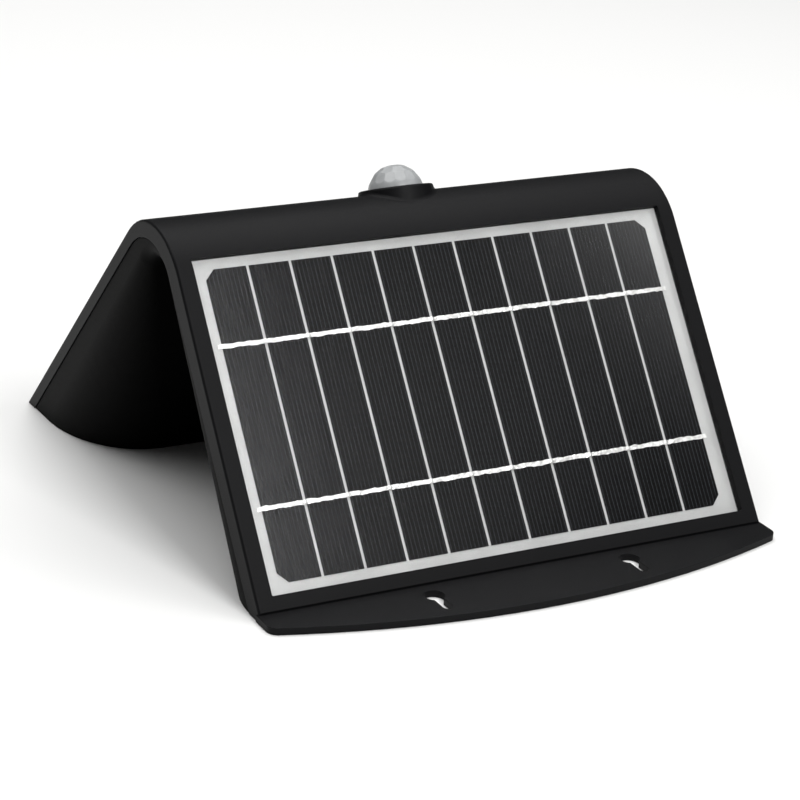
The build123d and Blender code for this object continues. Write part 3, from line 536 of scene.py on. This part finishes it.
class WALLLAMP_OT_build_clear_cover(Operator):
    """Models the clear layer over the cells, with its softened rim"""

    bl_idname = "wall_lamp.build_clear_cover"
    bl_label = "Build Clear Cover"

    def execute(self, context):
        panel = context.scene.wall_lamp_panel
        board_low, board_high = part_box("panel_board")
        board = 1.2 * MM
        clear = 1.2 * MM
        # The layer's underside stays this far off the cells.
        lift = 0.02 * MM
        width = board_high.x - board_low.x
        height = (board_high.y - board_low.y - board * sin(PANEL_TILT)) / cos(PANEL_TILT)
        outwards_of_face = Matrix.Rotation(PANEL_TILT, 3, "X") @ Vector((0, 0, 1))
        window = middle("panel_board") + outwards_of_face * (board + clear) / 2
        cover = start(bpy.ops.mesh.primitive_cube_add, "clear_cover", size=1)
        cover.dimensions = (width, height, clear - lift)
        cover.location = (0, 0, lift / 2)
        settle(cover)
        edit(cover, "EDGE")
        pick(cover, lambda e: all(v.co.z > 0 for v in e.verts), "edges")
        bpy.ops.mesh.bevel(offset=panel.cover_edge, segments=4, profile=0.6)
        done()
        only(cover)
        bpy.ops.object.shade_smooth_by_angle(angle=radians(40))
        settle(cover, leaning(window, PANEL_TILT))
        # PET film over EVA: clear and glossy, with a slight haze and a long, faint ripple from the press.
        material, tree, shader = new_material(
            "Clear PET laminate",
            {
                "Base Color": (1, 1, 1, 1),
                "Roughness": 0.16,
                "IOR": 1.5,
                "Transmission Weight": 1.0,
                "Alpha": 0.12,
            },
        )
        space = millimetre_space(tree, window, PANEL_TILT)
        ripple = add_node(tree, "ShaderNodeTexNoise", {"Scale": 1 / 9.0, "Detail": 1.0}, {"Vector": space})
        haze = add_node(
            tree,
            "ShaderNodeMapRange",
            {"From Min": 0.3, "From Max": 0.7, "To Min": 0.13, "To Max": 0.2},
            {"Value": ripple.outputs["Fac"]},
        )
        tree.links.new(haze.outputs["Result"], shader.inputs["Roughness"])
        bump = add_node(
            tree, "ShaderNodeBump", {"Strength": 0.25, "Distance": 0.02 * MM}, {"Height": ripple.outputs["Fac"]}
        )
        tree.links.new(bump.outputs["Normal"], shader.inputs["Normal"])
        dress(cover, material, "clear_resin", "lamp", "panel_window")
        return {"FINISHED"}


class WALLLAMP_OT_build_busbars(Operator):
    """Models the two crumpled tinned busbars and their solder at each gap"""

    bl_idname = "wall_lamp.build_busbars"
    bl_label = "Build Busbars"

    def execute(self, context):
        panel = context.scene.wall_lamp_panel
        low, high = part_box("cell_ribbons")
        cells_low, cells_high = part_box("solar_cells")
        centre = (low + high) / 2
        run = high.x - low.x
        width = 1.9 * MM
        # The ribbon's room over the cells, and the ribbon itself.
        room = 0.2 * MM
        gauge = 0.08 * MM
        sideways = 0.9 * MM
        solder_size = (1.25 * MM, 1.1 * MM, 0.34 * MM)
        solder_foot = -0.05 * MM
        solder_rough = 0.05 * MM
        spread = (high.y - low.y - room * sin(PANEL_TILT)) / cos(PANEL_TILT) - width
        wrinkle = bpy.data.textures.new("Busbar wrinkles", "CLOUDS")
        wrinkle.noise_scale = 1.1 * MM
        wrinkle.noise_depth = 2
        sway = bpy.data.textures.new("Busbar edges", "CLOUDS")
        sway.noise_scale = 2.6 * MM
        sway.noise_depth = 1
        pieces = []
        for row in (-1, 1):
            strip = start(
                bpy.ops.mesh.primitive_grid_add, f"busbar_{row}", x_subdivisions=520, y_subdivisions=6, size=1
            )
            strip.scale = (run, width, 1)
            strip.location = (0, row * spread / 2, 0)
            settle(strip)
            apply_modifier(
                strip, "DISPLACE", texture=wrinkle, texture_coords="LOCAL", direction="Z",
                strength=panel.crumple * 2, mid_level=0.45,
            )
            apply_modifier(
                strip, "DISPLACE", texture=sway, texture_coords="LOCAL", direction="Y",
                strength=sideways, mid_level=0.5,
            )
            apply_modifier(strip, "SOLIDIFY", thickness=gauge, offset=-1)
            pieces.append(strip)
        blob = start(bpy.ops.mesh.primitive_ico_sphere_add, "solder", subdivisions=3, radius=1)
        blob.scale = solder_size
        settle(blob)
        edit(blob, "VERT")
        bpy.ops.mesh.select_all(action="SELECT")
        bpy.ops.mesh.bisect(
            plane_co=(0, 0, solder_foot), plane_no=(0, 0, 1), use_fill=True,
            clear_inner=True, clear_outer=False, threshold=FINE,
        )
        done()
        only(blob)
        bpy.ops.object.shade_smooth()
        cells_centre = (cells_low.x + cells_high.x) / 2
        gaps = round((cells_high.x - cells_low.x) / panel.cell_pitch) - 1
        for row in (-1, 1):
            for gap in range(gaps):
                x = cells_centre - centre.x + (gap - (gaps - 1) / 2) * panel.cell_pitch
                # Every blob is turned differently, so that no two look alike.
                place = Matrix.Translation((x, row * spread / 2, 0)) @ Matrix.Rotation(gap * 1.7 + row, 4, "Z")
                copy = duplicate(blob, f"solder_{row}_{gap}", place)
                settle(copy)
                edit(copy, "VERT")
                bpy.ops.mesh.select_all(action="SELECT")
                bpy.ops.transform.vertex_random(offset=solder_rough, seed=gap * 2 + row + 3)
                done()
                pieces.append(copy)
        bpy.data.objects.remove(blob)
        bars = joined(pieces, "busbars")
        settle(bars, leaning(centre, PANEL_TILT))
        # Copper ribbon hot-dipped in tin: bright, soft and creased by hand.
        tin = metal("Tinned copper", tuple(panel.tin), 0.4, 0.8, 0.05)
        dress(bars, tin, "tinned_copper", "lamp", "cell_ribbons")
        return {"FINISHED"}


class WALLLAMP_OT_build_sensor_dome(Operator):
    """Models the faceted lens dome of the motion sensor with its flange"""

    bl_idname = "wall_lamp.build_sensor_dome"
    bl_label = "Build Sensor Dome"

    def execute(self, context):
        sensor = context.scene.wall_lamp_sensor
        radius = sensor.radius
        same_point = 0.004 * MM
        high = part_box("sensor_dome")[1]
        centre = Vector((0, high.y - radius, high.z - radius))
        dome = start(
            bpy.ops.mesh.primitive_uv_sphere_add, "sensor_lens", segments=72, ring_count=48, radius=radius
        )
        edit(dome, "VERT")
        bpy.ops.mesh.select_all(action="SELECT")
        bpy.ops.mesh.bisect(
            plane_co=(0, 0, 0), plane_no=(0, 0, 1), clear_inner=True, clear_outer=False, threshold=FINE,
        )
        # Every lens cell is a flat cut into the sphere, in rings that close up towards the top.
        cut = (radius ** 2 - sensor.facet_radius ** 2) ** 0.5
        # rise in degrees, cells in the ring, and how far round it starts, in cells
        rings = ((34.0, 14, 0.0), (56.0, 9, 0.5), (76.0, 4, 0.0), (90.0, 1, 0.0))
        for rise, count, shift in rings:
            for step in range(count):
                turn = 2 * pi * (step + shift) / count
                level, spoke = sin(radians(rise)), cos(radians(rise))
                out = Vector((cos(turn) * spoke, sin(turn) * spoke, level))
                bpy.ops.mesh.select_all(action="SELECT")
                bpy.ops.mesh.bisect(
                    plane_co=out * cut, plane_no=out, use_fill=True,
                    clear_inner=False, clear_outer=True, threshold=FINE,
                )
        bpy.ops.mesh.select_all(action="SELECT")
        bpy.ops.mesh.remove_doubles(threshold=same_point)
        bpy.ops.mesh.select_all(action="DESELECT")
        pick(dome, lambda e: e.is_boundary and all(v.co.z < 2 * same_point for v in e.verts), "edges")
        # Down the skirt, round the flange and up the inside.
        inner = radius - sensor.wall
        rim = ((radius, -sensor.flange_drop), (sensor.flange_radius, -sensor.flange_drop))
        rim += ((sensor.flange_radius, -sensor.flange_drop - sensor.flange),)
        rim += ((inner, -sensor.flange_drop - sensor.flange), (inner, 0.0))
        rim += tuple((inner * cos(radians(a)), inner * sin(radians(a))) for a in (18, 36, 54, 72, 84))
        at = (radius, 0.0)
        for reach, level in rim:
            bpy.ops.mesh.extrude_edges_move(TRANSFORM_OT_translate={"value": (0, 0, level - at[1])})
            scale = reach / at[0]
            bpy.ops.transform.resize(value=(scale, scale, 1), center_override=(0, 0, level))
            at = (reach, level)
        bpy.ops.mesh.edge_face_add()
        done()
        outwards(dome)
        only(dome)
        bpy.ops.object.shade_smooth_by_angle(angle=radians(7))
        settle(dome, leaning(centre, SENSOR_TILT))
        # High-density polyethylene: waxy and milky, light goes a little way into it.
        material, tree, shader = new_material(
            "Milky polyethylene",
            {
                "Roughness": 0.36,
                "IOR": 1.54,
                "Subsurface Weight": 0.35,
                "Subsurface Radius": (1.0, 1.0, 1.0),
                "Subsurface Scale": 2.0 * MM,
            },
        )
        space = millimetre_space(tree, centre, SENSOR_TILT)
        wax = add_node(tree, "ShaderNodeTexNoise", {"Scale": 1 / 4.0, "Detail": 3.0}, {"Vector": space})
        lens = tuple(sensor.lens)
        shade = two_tones(tree, wax.outputs["Fac"], scaled(lens, 0.92), scaled(lens, 1.04), (0.35, 0.65))
        tree.links.new(shade, shader.inputs["Base Color"])
        # The grooves of each Fresnel cell are on the inside and show only as a faint ripple.
        rings_in = add_node(
            tree,
            "ShaderNodeTexWave",
            {"wave_type": "RINGS", "rings_direction": "Z", "Scale": 0.35},
            {"Vector": space},
        )
        bump = add_node(
            tree,
            "ShaderNodeBump",
            {"Strength": 0.2, "Distance": 0.02 * MM},
            {"Height": rings_in.outputs["Fac"]},
        )
        tree.links.new(bump.outputs["Normal"], shader.inputs["Normal"])
        dress(dome, material, "lens_milky", "lamp", "sensor_dome")
        return {"FINISHED"}


class WALLLAMP_OT_finish_lamp(Operator):
    """Gives the lamp window, its reflector, board and seal their finish"""

    bl_idname = "wall_lamp.finish_lamp"
    bl_label = "Finish Lamp"

    def execute(self, context):
        light = context.scene.wall_lamp_light
        # Polycarbonate frosted on the inside: the rows of LEDs show through it as soft marks.
        material, tree, shader = new_material(
            "Frosted polycarbonate",
            {"Roughness": 0.3, "IOR": 1.58, "Transmission Weight": 0.75},
        )
        space = millimetre_space(tree, middle("lamp_diffuser"), LAMP_TILT)
        frost = add_node(tree, "ShaderNodeTexNoise", {"Scale": 1 / 0.6, "Detail": 2.0}, {"Vector": space})
        opal = tuple(light.opal)
        shade = two_tones(tree, frost.outputs["Fac"], scaled(opal, 0.96), scaled(opal, 1.02), (0.35, 0.65))
        tree.links.new(shade, shader.inputs["Base Color"])
        gloss = add_node(
            tree,
            "ShaderNodeMapRange",
            {"From Min": 0.3, "From Max": 0.7, "To Min": 0.26, "To Max": 0.4},
            {"Value": frost.outputs["Fac"]},
        )
        tree.links.new(gloss.outputs["Result"], shader.inputs["Roughness"])
        bump = add_node(
            tree, "ShaderNodeBump", {"Strength": 0.3, "Distance": 0.01 * MM}, {"Height": frost.outputs["Fac"]}
        )
        tree.links.new(bump.outputs["Normal"], shader.inputs["Normal"])
        paint("lamp_diffuser", material)
        # Gloss white ABS frame that throws the light out.
        paint("led_reflector", moulded("Gloss white ABS", linear("#eceded"), 0.22, 1.2, 0.01, contrast=0.02))
        # Aluminium-core board under white solder mask.
        mask = moulded("White mask on aluminium core", linear("#e4e6e4"), 0.4, 2.0, 0.01, contrast=0.03)
        paint("led_board", mask)
        paint("diffuser_seal", moulded("Black foam seal", linear("#141414"), 0.85, 0.3, 0.05))
        return {"FINISHED"}


class WALLLAMP_OT_build_leds(Operator):
    """Models one LED package and sets out the whole field of them"""

    bl_idname = "wall_lamp.build_leds"
    bl_label = "Build LEDs"

    def execute(self, context):
        light = context.scene.wall_lamp_light
        centre = middle("led_chips")
        led = start(bpy.ops.mesh.primitive_cube_add, "led", size=1)
        led.dimensions = (light.led_length, light.led_width, light.led_height)
        settle(led)
        rim = 0.35 * MM
        cup = 0.18 * MM
        edit(led)
        pick(led, lambda f: f.normal.z > 0.9)
        bpy.ops.mesh.inset(thickness=rim)
        bpy.ops.mesh.extrude_region_move(TRANSFORM_OT_translate={"value": (0, 0, -cup)})
        bpy.ops.transform.resize(value=(0.86, 0.86, 1), center_override=(0, 0, 0))
        done()
        led.data.materials.append(None)
        led.data.materials.append(None)
        for face in led.data.polygons:
            inside = face.normal.z > 0.9 and face.center.z < light.led_height / 2 - cup / 2
            face.material_index = 1 if inside else 0
        place = leaning(centre, LAMP_TILT)
        pieces = []
        for row in range(light.rows):
            for column in range(light.columns):
                x = (column - (light.columns - 1) / 2) * light.column_pitch
                y = (row - (light.rows - 1) / 2) * light.row_pitch
                pieces.append(duplicate(led, f"led_{row}_{column}", place @ Matrix.Translation((x, y, 0))))
        bpy.data.objects.remove(led)
        field = joined(pieces, "leds")
        settle(field)
        # White PPA package round a cup of yellow phosphor in silicone.
        package = moulded("White PPA", linear("#efefec"), 0.4, 0.5, 0.008, contrast=0.02)
        phosphor = moulded("Yellow phosphor", tuple(light.phosphor), 0.25, 0.25, 0.01, contrast=0.1)
        dress(field, [package, phosphor], "led_phosphor", "lamp", "led_chips")
        return {"FINISHED"}


def cross_screw(name, shank, head, head_height, shank_length):
    """One pan-head screw standing on the origin, its head upwards, with a cross recess."""
    tip = 0.6 * MM
    screw = start(
        bpy.ops.mesh.primitive_cylinder_add, name, vertices=28, radius=head / 2, depth=head_height,
        location=(0, 0, head_height / 2),
    )
    settle(screw)
    edit(screw, "EDGE")
    pick(screw, lambda e: all(v.co.z > head_height * 0.9 for v in e.verts) and len(e.link_faces) == 2, "edges")
    bpy.ops.mesh.bevel(offset=head_height * 0.42, segments=4, profile=0.5)
    bpy.ops.mesh.select_all(action="DESELECT")
    bpy.ops.mesh.select_mode(type="FACE")
    pick(screw, lambda f: f.normal.z < -0.9)
    bpy.ops.mesh.inset(thickness=(head - shank) / 2)
    bpy.ops.mesh.extrude_region_move(TRANSFORM_OT_translate={"value": (0, 0, tip - shank_length)})
    bpy.ops.mesh.extrude_region_move(TRANSFORM_OT_translate={"value": (0, 0, -tip)})
    bpy.ops.transform.resize(value=(0.55, 0.55, 1), center_override=(0, 0, -shank_length))
    done()
    arms = []
    for turn in (0, pi / 2):
        arm = start(bpy.ops.mesh.primitive_cube_add, "recess", size=1)
        arm.dimensions = (head * 0.56, head * 0.13, head_height * 1.2)
        settle(arm)
        edit(arm)
        pick(arm, lambda f: f.normal.z < -0.9)
        bpy.ops.transform.resize(value=(0.45, 0.8, 1), center_override=(0, 0, 0))
        done()
        settle(arm, Matrix.Translation((0, 0, head_height)) @ Matrix.Rotation(turn, 4, "Z"))
        arms.append(arm)
    for arm in arms:
        apply_modifier(screw, "BOOLEAN", operation="DIFFERENCE", object=arm, solver="EXACT")
    for arm in arms:
        bpy.data.objects.remove(arm)
    only(screw)
    bpy.ops.object.shade_smooth_by_angle(angle=radians(30))
    return screw


def clusters(node):
    """The lowest and highest corner of each separate solid of a CAD node."""
    mesh = bmesh.new()
    mesh.from_mesh(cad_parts[node].data)
    bmesh.ops.remove_doubles(mesh, verts=mesh.verts, dist=0.001 * MM)
    left = set(mesh.verts)
    found = []
    while left:
        stack = [left.pop()]
        island = []
        while stack:
            vert = stack.pop()
            island.append(vert.co.copy())
            for edge in vert.link_edges:
                other = edge.other_vert(vert)
                if other in left:
                    left.remove(other)
                    stack.append(other)
        low = Vector([min(p[i] for p in island) for i in range(3)])
        high = Vector([max(p[i] for p in island) for i in range(3)])
        found.append((low, high))
    mesh.free()
    return sorted(found, key=lambda pair: (round(pair[0].x, 4), round(pair[0].y, 4)))


class WALLLAMP_OT_build_screws(Operator):
    """Models the cross-recess screws and sets one at each CAD screw"""

    bl_idname = "wall_lamp.build_screws"
    bl_label = "Build Screws"

    def execute(self, context):
        # Zinc-plated steel, a little blue and rubbed by the driver.
        zinc = metal("Zinc-plated steel", linear("#a9adb2"), 0.34, 0.3, 0.01)
        # node: shank, head, head height, whole length, and the turn that points the head the right way
        kinds = {
            "cover_screws": (3.0, 5.6, 2.0, 12.0, pi),
            "led_screws": (2.5, 4.5, 1.7, 7.4, LAMP_TILT + pi),
            "cradle_screws": (2.5, 4.5, 1.7, 7.7, BATTERY_TILT),
            "control_screws": (2.5, 4.5, 1.7, 7.3, CONTROL_TILT),
            "sensor_screws": (2.5, 4.5, 1.7, 7.7, SENSOR_TILT + pi),
        }
        for node, (shank, head, head_height, whole, tilt) in kinds.items():
            model = cross_screw(node[:-1], shank * MM, head * MM, head_height * MM, (whole - head_height) * MM)
            axis = Matrix.Rotation(tilt, 3, "X") @ Vector((0, 0, 1))
            copies = []
            for index, (low, high) in enumerate(clusters(node)):
                seat = self.seat(low, high, axis, head * MM, head_height * MM)
                # Each was driven home to its own turn.
                place = leaning(seat, tilt) @ Matrix.Rotation(0.6 * index + 0.3, 4, "Z")
                copies.append(duplicate(model, f"{node}_{index}", place))
            bpy.data.objects.remove(model)
            group = joined(copies, node[:-1] + "_set")
            settle(group)
            dress(group, zinc, "screw_steel", "lamp", node)
        return {"FINISHED"}

    def seat(self, low, high, axis, head, head_height):
        """Where a head sits on what it holds, from the box of the CAD screw and its axis."""
        across = (1 - axis.y ** 2) ** 0.5, (1 - axis.z ** 2) ** 0.5
        # The head's disc reaches furthest along the axis' own direction in Y and Z.
        top_y = high.y - head / 2 * across[0] if axis.y > 0 else low.y + head / 2 * across[0]
        top_z = high.z - head / 2 * across[1] if axis.z > 0 else low.z + head / 2 * across[1]
        if abs(axis.y) < 0.01:
            top_y = (low.y + high.y) / 2
        return Vector(((low.x + high.x) / 2, top_y, top_z)) - axis * head_height


class WALLLAMP_OT_build_mode_button(Operator):
    """Models the soft button on the underside of the solar wing"""

    bl_idname = "wall_lamp.build_mode_button"
    bl_label = "Build Mode Button"

    def execute(self, context):
        low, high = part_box("mode_button")
        radius = 4.5 * MM
        flange = 6.0 * MM
        flange_height = 0.8 * MM
        stem = 3.75 * MM
        rounding = 0.7 * MM
        button = start(
            bpy.ops.mesh.primitive_cylinder_add, "button", vertices=48, radius=flange, depth=flange_height,
            location=(0, 0, flange_height / 2),
        )
        settle(button)
        edit(button)
        pick(button, lambda f: f.normal.z < -0.9)
        bpy.ops.mesh.inset(thickness=flange - radius)
        reach = radius
        level = rounding - stem
        bpy.ops.mesh.extrude_region_move(TRANSFORM_OT_translate={"value": (0, 0, level)})
        # The rounded rim, in three steps: how far in and how far on.
        for inwards, down in ((0.15, 0.35), (0.2, 0.2), (0.35, 0.15)):
            new_reach = reach - inwards * MM
            level -= down * MM
            bpy.ops.mesh.extrude_region_move(TRANSFORM_OT_translate={"value": (0, 0, -down * MM)})
            bpy.ops.transform.resize(
                value=(new_reach / reach, new_reach / reach, 1), center_override=(0, 0, level)
            )
            reach = new_reach
        # A dished top with a raised ring for the fingertip: how far in, and how far back into the button.
        for inwards, sunk in ((0.9, 0.25), (0.35, 0), (0.12, -0.2), (0.4, 0), (0.12, 0.2)):
            bpy.ops.mesh.inset(thickness=inwards * MM)
            bpy.ops.transform.translate(value=(0, 0, sunk * MM))
        done()
        only(button)
        bpy.ops.object.shade_smooth_by_angle(angle=radians(35))
        axis = Matrix.Rotation(CONTROL_TILT, 3, "X") @ Vector((0, 0, 1))
        # The flange's inner rim is the highest and the face's rim the lowest point of the box.
        top_z = high.z - flange * sin(CONTROL_TILT)
        top_y = low.y + flange * cos(CONTROL_TILT)
        origin = Vector(((low.x + high.x) / 2, top_y, top_z)) - axis * flange_height
        settle(button, leaning(origin, CONTROL_TILT))
        # Silicone rubber: soft matt grey that lifts at the edges.
        rubber = moulded(
            "Grey silicone rubber", linear("#4a4c4e"), 0.62, 0.4, 0.02, 0.2, **{"Sheen Weight": 0.15}
        )
        dress(button, rubber, "button_silicone", "button", "mode_button")
        # Acetal plunger behind the button.
        paint("switch_plunger", moulded("White acetal", linear("#dcdcd6"), 0.35, 0.6, 0.01, contrast=0.03))
        return {"FINISHED"}


def board_finish(name, tone, centre, tilt):
    """FR4 under green solder mask, with copper tracks raised under it."""
    material, tree, shader = new_material(name, {"Roughness": 0.3, "IOR": 1.52})
    space = millimetre_space(tree, centre, tilt)
    tracks = add_node(
        tree,
        "ShaderNodeTexBrick",
        {
            "Scale": 1.0,
            "Mortar Size": 0.18,
            "Brick Width": 5.2,
            "Row Height": 2.4,
            "Color1": (0, 0, 0, 1),
            "Color2": (0, 0, 0, 1),
            "Mortar": (1, 1, 1, 1),
        },
        {"Vector": space},
    )
    shade = two_tones(tree, tracks.outputs["Color"], tone, scaled(tone, 1.9))
    tree.links.new(shade, shader.inputs["Base Color"])
    bump = add_node(
        tree, "ShaderNodeBump", {"Strength": 0.6, "Distance": 0.035 * MM}, {"Height": tracks.outputs["Color"]}
    )
    tree.links.new(bump.outputs["Normal"], shader.inputs["Normal"])
    return material


class WALLLAMP_OT_finish_electronics(Operator):
    """Gives the sensor, the boards and what is soldered to them their finish"""

    bl_idname = "wall_lamp.finish_electronics"
    bl_label = "Finish Electronics"

    def execute(self, context):
        green = linear("#123a22")
        for node, tilt in (("control_board", CONTROL_TILT), ("sensor_board", SENSOR_TILT)):
            name = "Green mask, " + node.replace("_", " ")
            paint(node, board_finish(name, green, middle(node), tilt))
        # Epoxy moulding compound: blue-black, slightly gritty.
        paint("control_chips", moulded("Epoxy moulding compound", linear("#1b1c1f"), 0.55, 0.25, 0.012))
        # Heat-shrunk PET sleeve.
        paint("control_capacitors", moulded("Blue-black PET sleeve", linear("#161d33"), 0.25, 1.0, 0.01))
        paint("control_inductor", moulded("Ferrite", linear("#3a3b3d"), 0.7, 0.3, 0.05))
        nylon = moulded("Natural nylon", linear("#e5e2d8"), 0.4, 0.7, 0.01, 0.2, contrast=0.03)
        paint("control_connectors", nylon)
        paint("tact_switch", moulded("Switch body nylon", linear("#1c1c1e"), 0.45, 0.3, 0.01, 0.15))
        # Nickel-plated steel can over the sensing element, with a dark infrared filter in it.
        paint("pir_can", metal("Nickel-plated can", linear("#b9b7b0"), 0.24, 0.4, 0.006))
        paint("pir_window", moulded("Silicon infrared filter", linear("#20222a"), 0.12, 1.0, 0.004))
        paint("light_sensor", moulded("Smoked epoxy", linear("#24201d"), 0.1, 1.0, 0.004))
        paint("sensor_retainer", moulded("Black ABS retainer", linear("#1a1a1b"), 0.5, 0.4, 0.015, 0.2))
        paint("dome_seal", moulded("Black silicone ring", linear("#171717"), 0.6, 0.4, 0.02))
        return {"FINISHED"}


class WALLLAMP_OT_finish_battery(Operator):
    """Gives the cells, their tabs and the cradle their finish"""

    bl_idname = "wall_lamp.finish_battery"
    bl_label = "Finish Battery"

    def execute(self, context):
        # PVC shrink sleeve over a steel can: even colour, glossy, faint creases.
        sleeve = moulded("Blue PVC shrink sleeve", linear("#1f4f7d"), 0.26, 3.0, 0.05, contrast=0.06)
        paint("battery_cells", sleeve)
        paint("battery_tabs", metal("Rolled nickel strip", linear("#c3c0b8"), 0.3, 0.25, 0.01, (1, 0.1, 0.1)))
        paint("battery_cradle", moulded("Black ABS cradle", linear("#191919"), 0.5, 0.4, 0.02, 0.2))
        return {"FINISHED"}


class WALLLAMP_OT_finish_wires(Operator):
    """Gives the leads inside the housing their finish"""

    bl_idname = "wall_lamp.finish_wires"
    bl_label = "Finish Wires"

    def execute(self, context):
        # Soft PVC insulation: satin, even colour.
        tones = {
            "panel_leads": "#8c1f1b",
            "lamp_leads": "#d8d6cf",
            "battery_leads": "#a32420",
            "sensor_leads": "#d9b22e",
        }
        for node, code in tones.items():
            paint(node, moulded("PVC insulation, " + node.replace("_", " "), linear(code), 0.4, 0.5, 0.01))
        return {"FINISHED"}


class WALLLAMP_OT_build_stage(Operator):
    """Sets the floor, the soft lights and the camera"""

    bl_idname = "wall_lamp.build_stage"
    bl_label = "Build Stage"

    def execute(self, context):
        stage = context.scene.wall_lamp_stage
        scene = context.scene
        floor = start(bpy.ops.mesh.primitive_plane_add, "floor", size=12)
        # Just under the lamp, so that the two don't touch.
        floor.location = (0, 0, cad_low.z - 0.2 * MM)
        material, _, shader = new_material("Pale floor", {"Roughness": 0.9, "Specular IOR Level": 0.1})
        shader.inputs["Base Color"].default_value = rgba(tuple(stage.floor))
        floor.data.materials.append(material)

        world = bpy.data.worlds.new("Studio")
        world.use_nodes = True
        world.node_tree.nodes["Background"].inputs["Color"].default_value = (1, 1, 1, 1)
        world.node_tree.nodes["Background"].inputs["Strength"].default_value = 0.06
        scene.world = world
        scene.view_settings.view_transform = "Standard"

        # name: where from, where to, size, watts
        lights = {
            "overhead": ((0.0, 0.55, 2.0), (0.0, 0.45, 0.0), (2.8, 2.4), 56),
            "front": ((0.2, -1.8, 1.65), (0.0, 0.0, 0.05), (0.8, 0.6), 27),
            "glare": ((1.25, -0.72, 1.2), (0.08, -0.03, 0.1), (0.5, 0.5), 2.4),
        }
        for name, (spot, target, size, watts) in lights.items():
            data = bpy.data.lights.new(name, "AREA")
            data.shape = "RECTANGLE"
            data.size, data.size_y = size
            data.energy = watts
            lamp = bpy.data.objects.new(name, data)
            scene.collection.objects.link(lamp)
            lamp.location = spot
            lamp.rotation_mode = "QUATERNION"
            lamp.rotation_quaternion = (Vector(target) - Vector(spot)).to_track_quat("-Z", "Y")

        data = bpy.data.cameras.new("camera")
        data.lens = stage.lens
        data.sensor_width = 36
        data.clip_start, data.clip_end = 0.05, 50
        camera = bpy.data.objects.new("camera", data)
        scene.collection.objects.link(camera)
        back = Vector((
            sin(stage.azimuth) * cos(stage.elevation),
            -cos(stage.azimuth) * cos(stage.elevation),
            sin(stage.elevation),
        ))
        camera.location = stage.camera_place
        camera.rotation_mode = "QUATERNION"
        camera.rotation_quaternion = (-back).to_track_quat("-Z", "Y") @ Quaternion((0, 0, 1), stage.roll)
        scene.camera = camera
        return {"FINISHED"}


class WALLLAMP_PT_sidebar(Panel):
    """Lists the lamp's settings and the steps that make it"""

    bl_idname = "WALLLAMP_PT_sidebar"
    bl_label = "Wall Lamp"
    bl_space_type = "VIEW_3D"
    bl_region_type = "UI"
    bl_category = "Wall Lamp"

    def draw(self, context):
        for name, group in SETTINGS.items():
            box = self.layout.box()
            held = getattr(context.scene, name)
            for field in group.__annotations__:
                box.prop(held, field)
        for step in STEPS:
            self.layout.operator(step.bl_idname)


SETTINGS = {
    "wall_lamp_housing": WallLampHousing,
    "wall_lamp_panel": WallLampPanel,
    "wall_lamp_sensor": WallLampSensor,
    "wall_lamp_light": WallLampLight,
    "wall_lamp_stage": WallLampStage,
}
STEPS = (
    WALLLAMP_OT_build_stage,
    WALLLAMP_OT_finish_housing,
    WALLLAMP_OT_finish_panel,
    WALLLAMP_OT_build_clear_cover,
    WALLLAMP_OT_build_busbars,
    WALLLAMP_OT_build_sensor_dome,
    WALLLAMP_OT_finish_lamp,
    WALLLAMP_OT_build_leds,
    WALLLAMP_OT_build_screws,
    WALLLAMP_OT_build_mode_button,
    WALLLAMP_OT_finish_electronics,
    WALLLAMP_OT_finish_battery,
    WALLLAMP_OT_finish_wires,
)


def register():
    for group in SETTINGS.values():
        bpy.utils.register_class(group)
    for step in STEPS:
        bpy.utils.register_class(step)
    bpy.utils.register_class(WALLLAMP_PT_sidebar)
    for name, group in SETTINGS.items():
        setattr(bpy.types.Scene, name, PointerProperty(type=group))


def unregister():
    for name in SETTINGS:
        delattr(bpy.types.Scene, name)
    bpy.utils.unregister_class(WALLLAMP_PT_sidebar)
    for step in reversed(STEPS):
        bpy.utils.unregister_class(step)
    for group in reversed(SETTINGS.values()):
        bpy.utils.unregister_class(group)


def main():
    register()
    for step in STEPS:
        group, name = step.bl_idname.split(".")
        getattr(getattr(bpy.ops, group), name)()


if __name__ == "__main__":
    main()
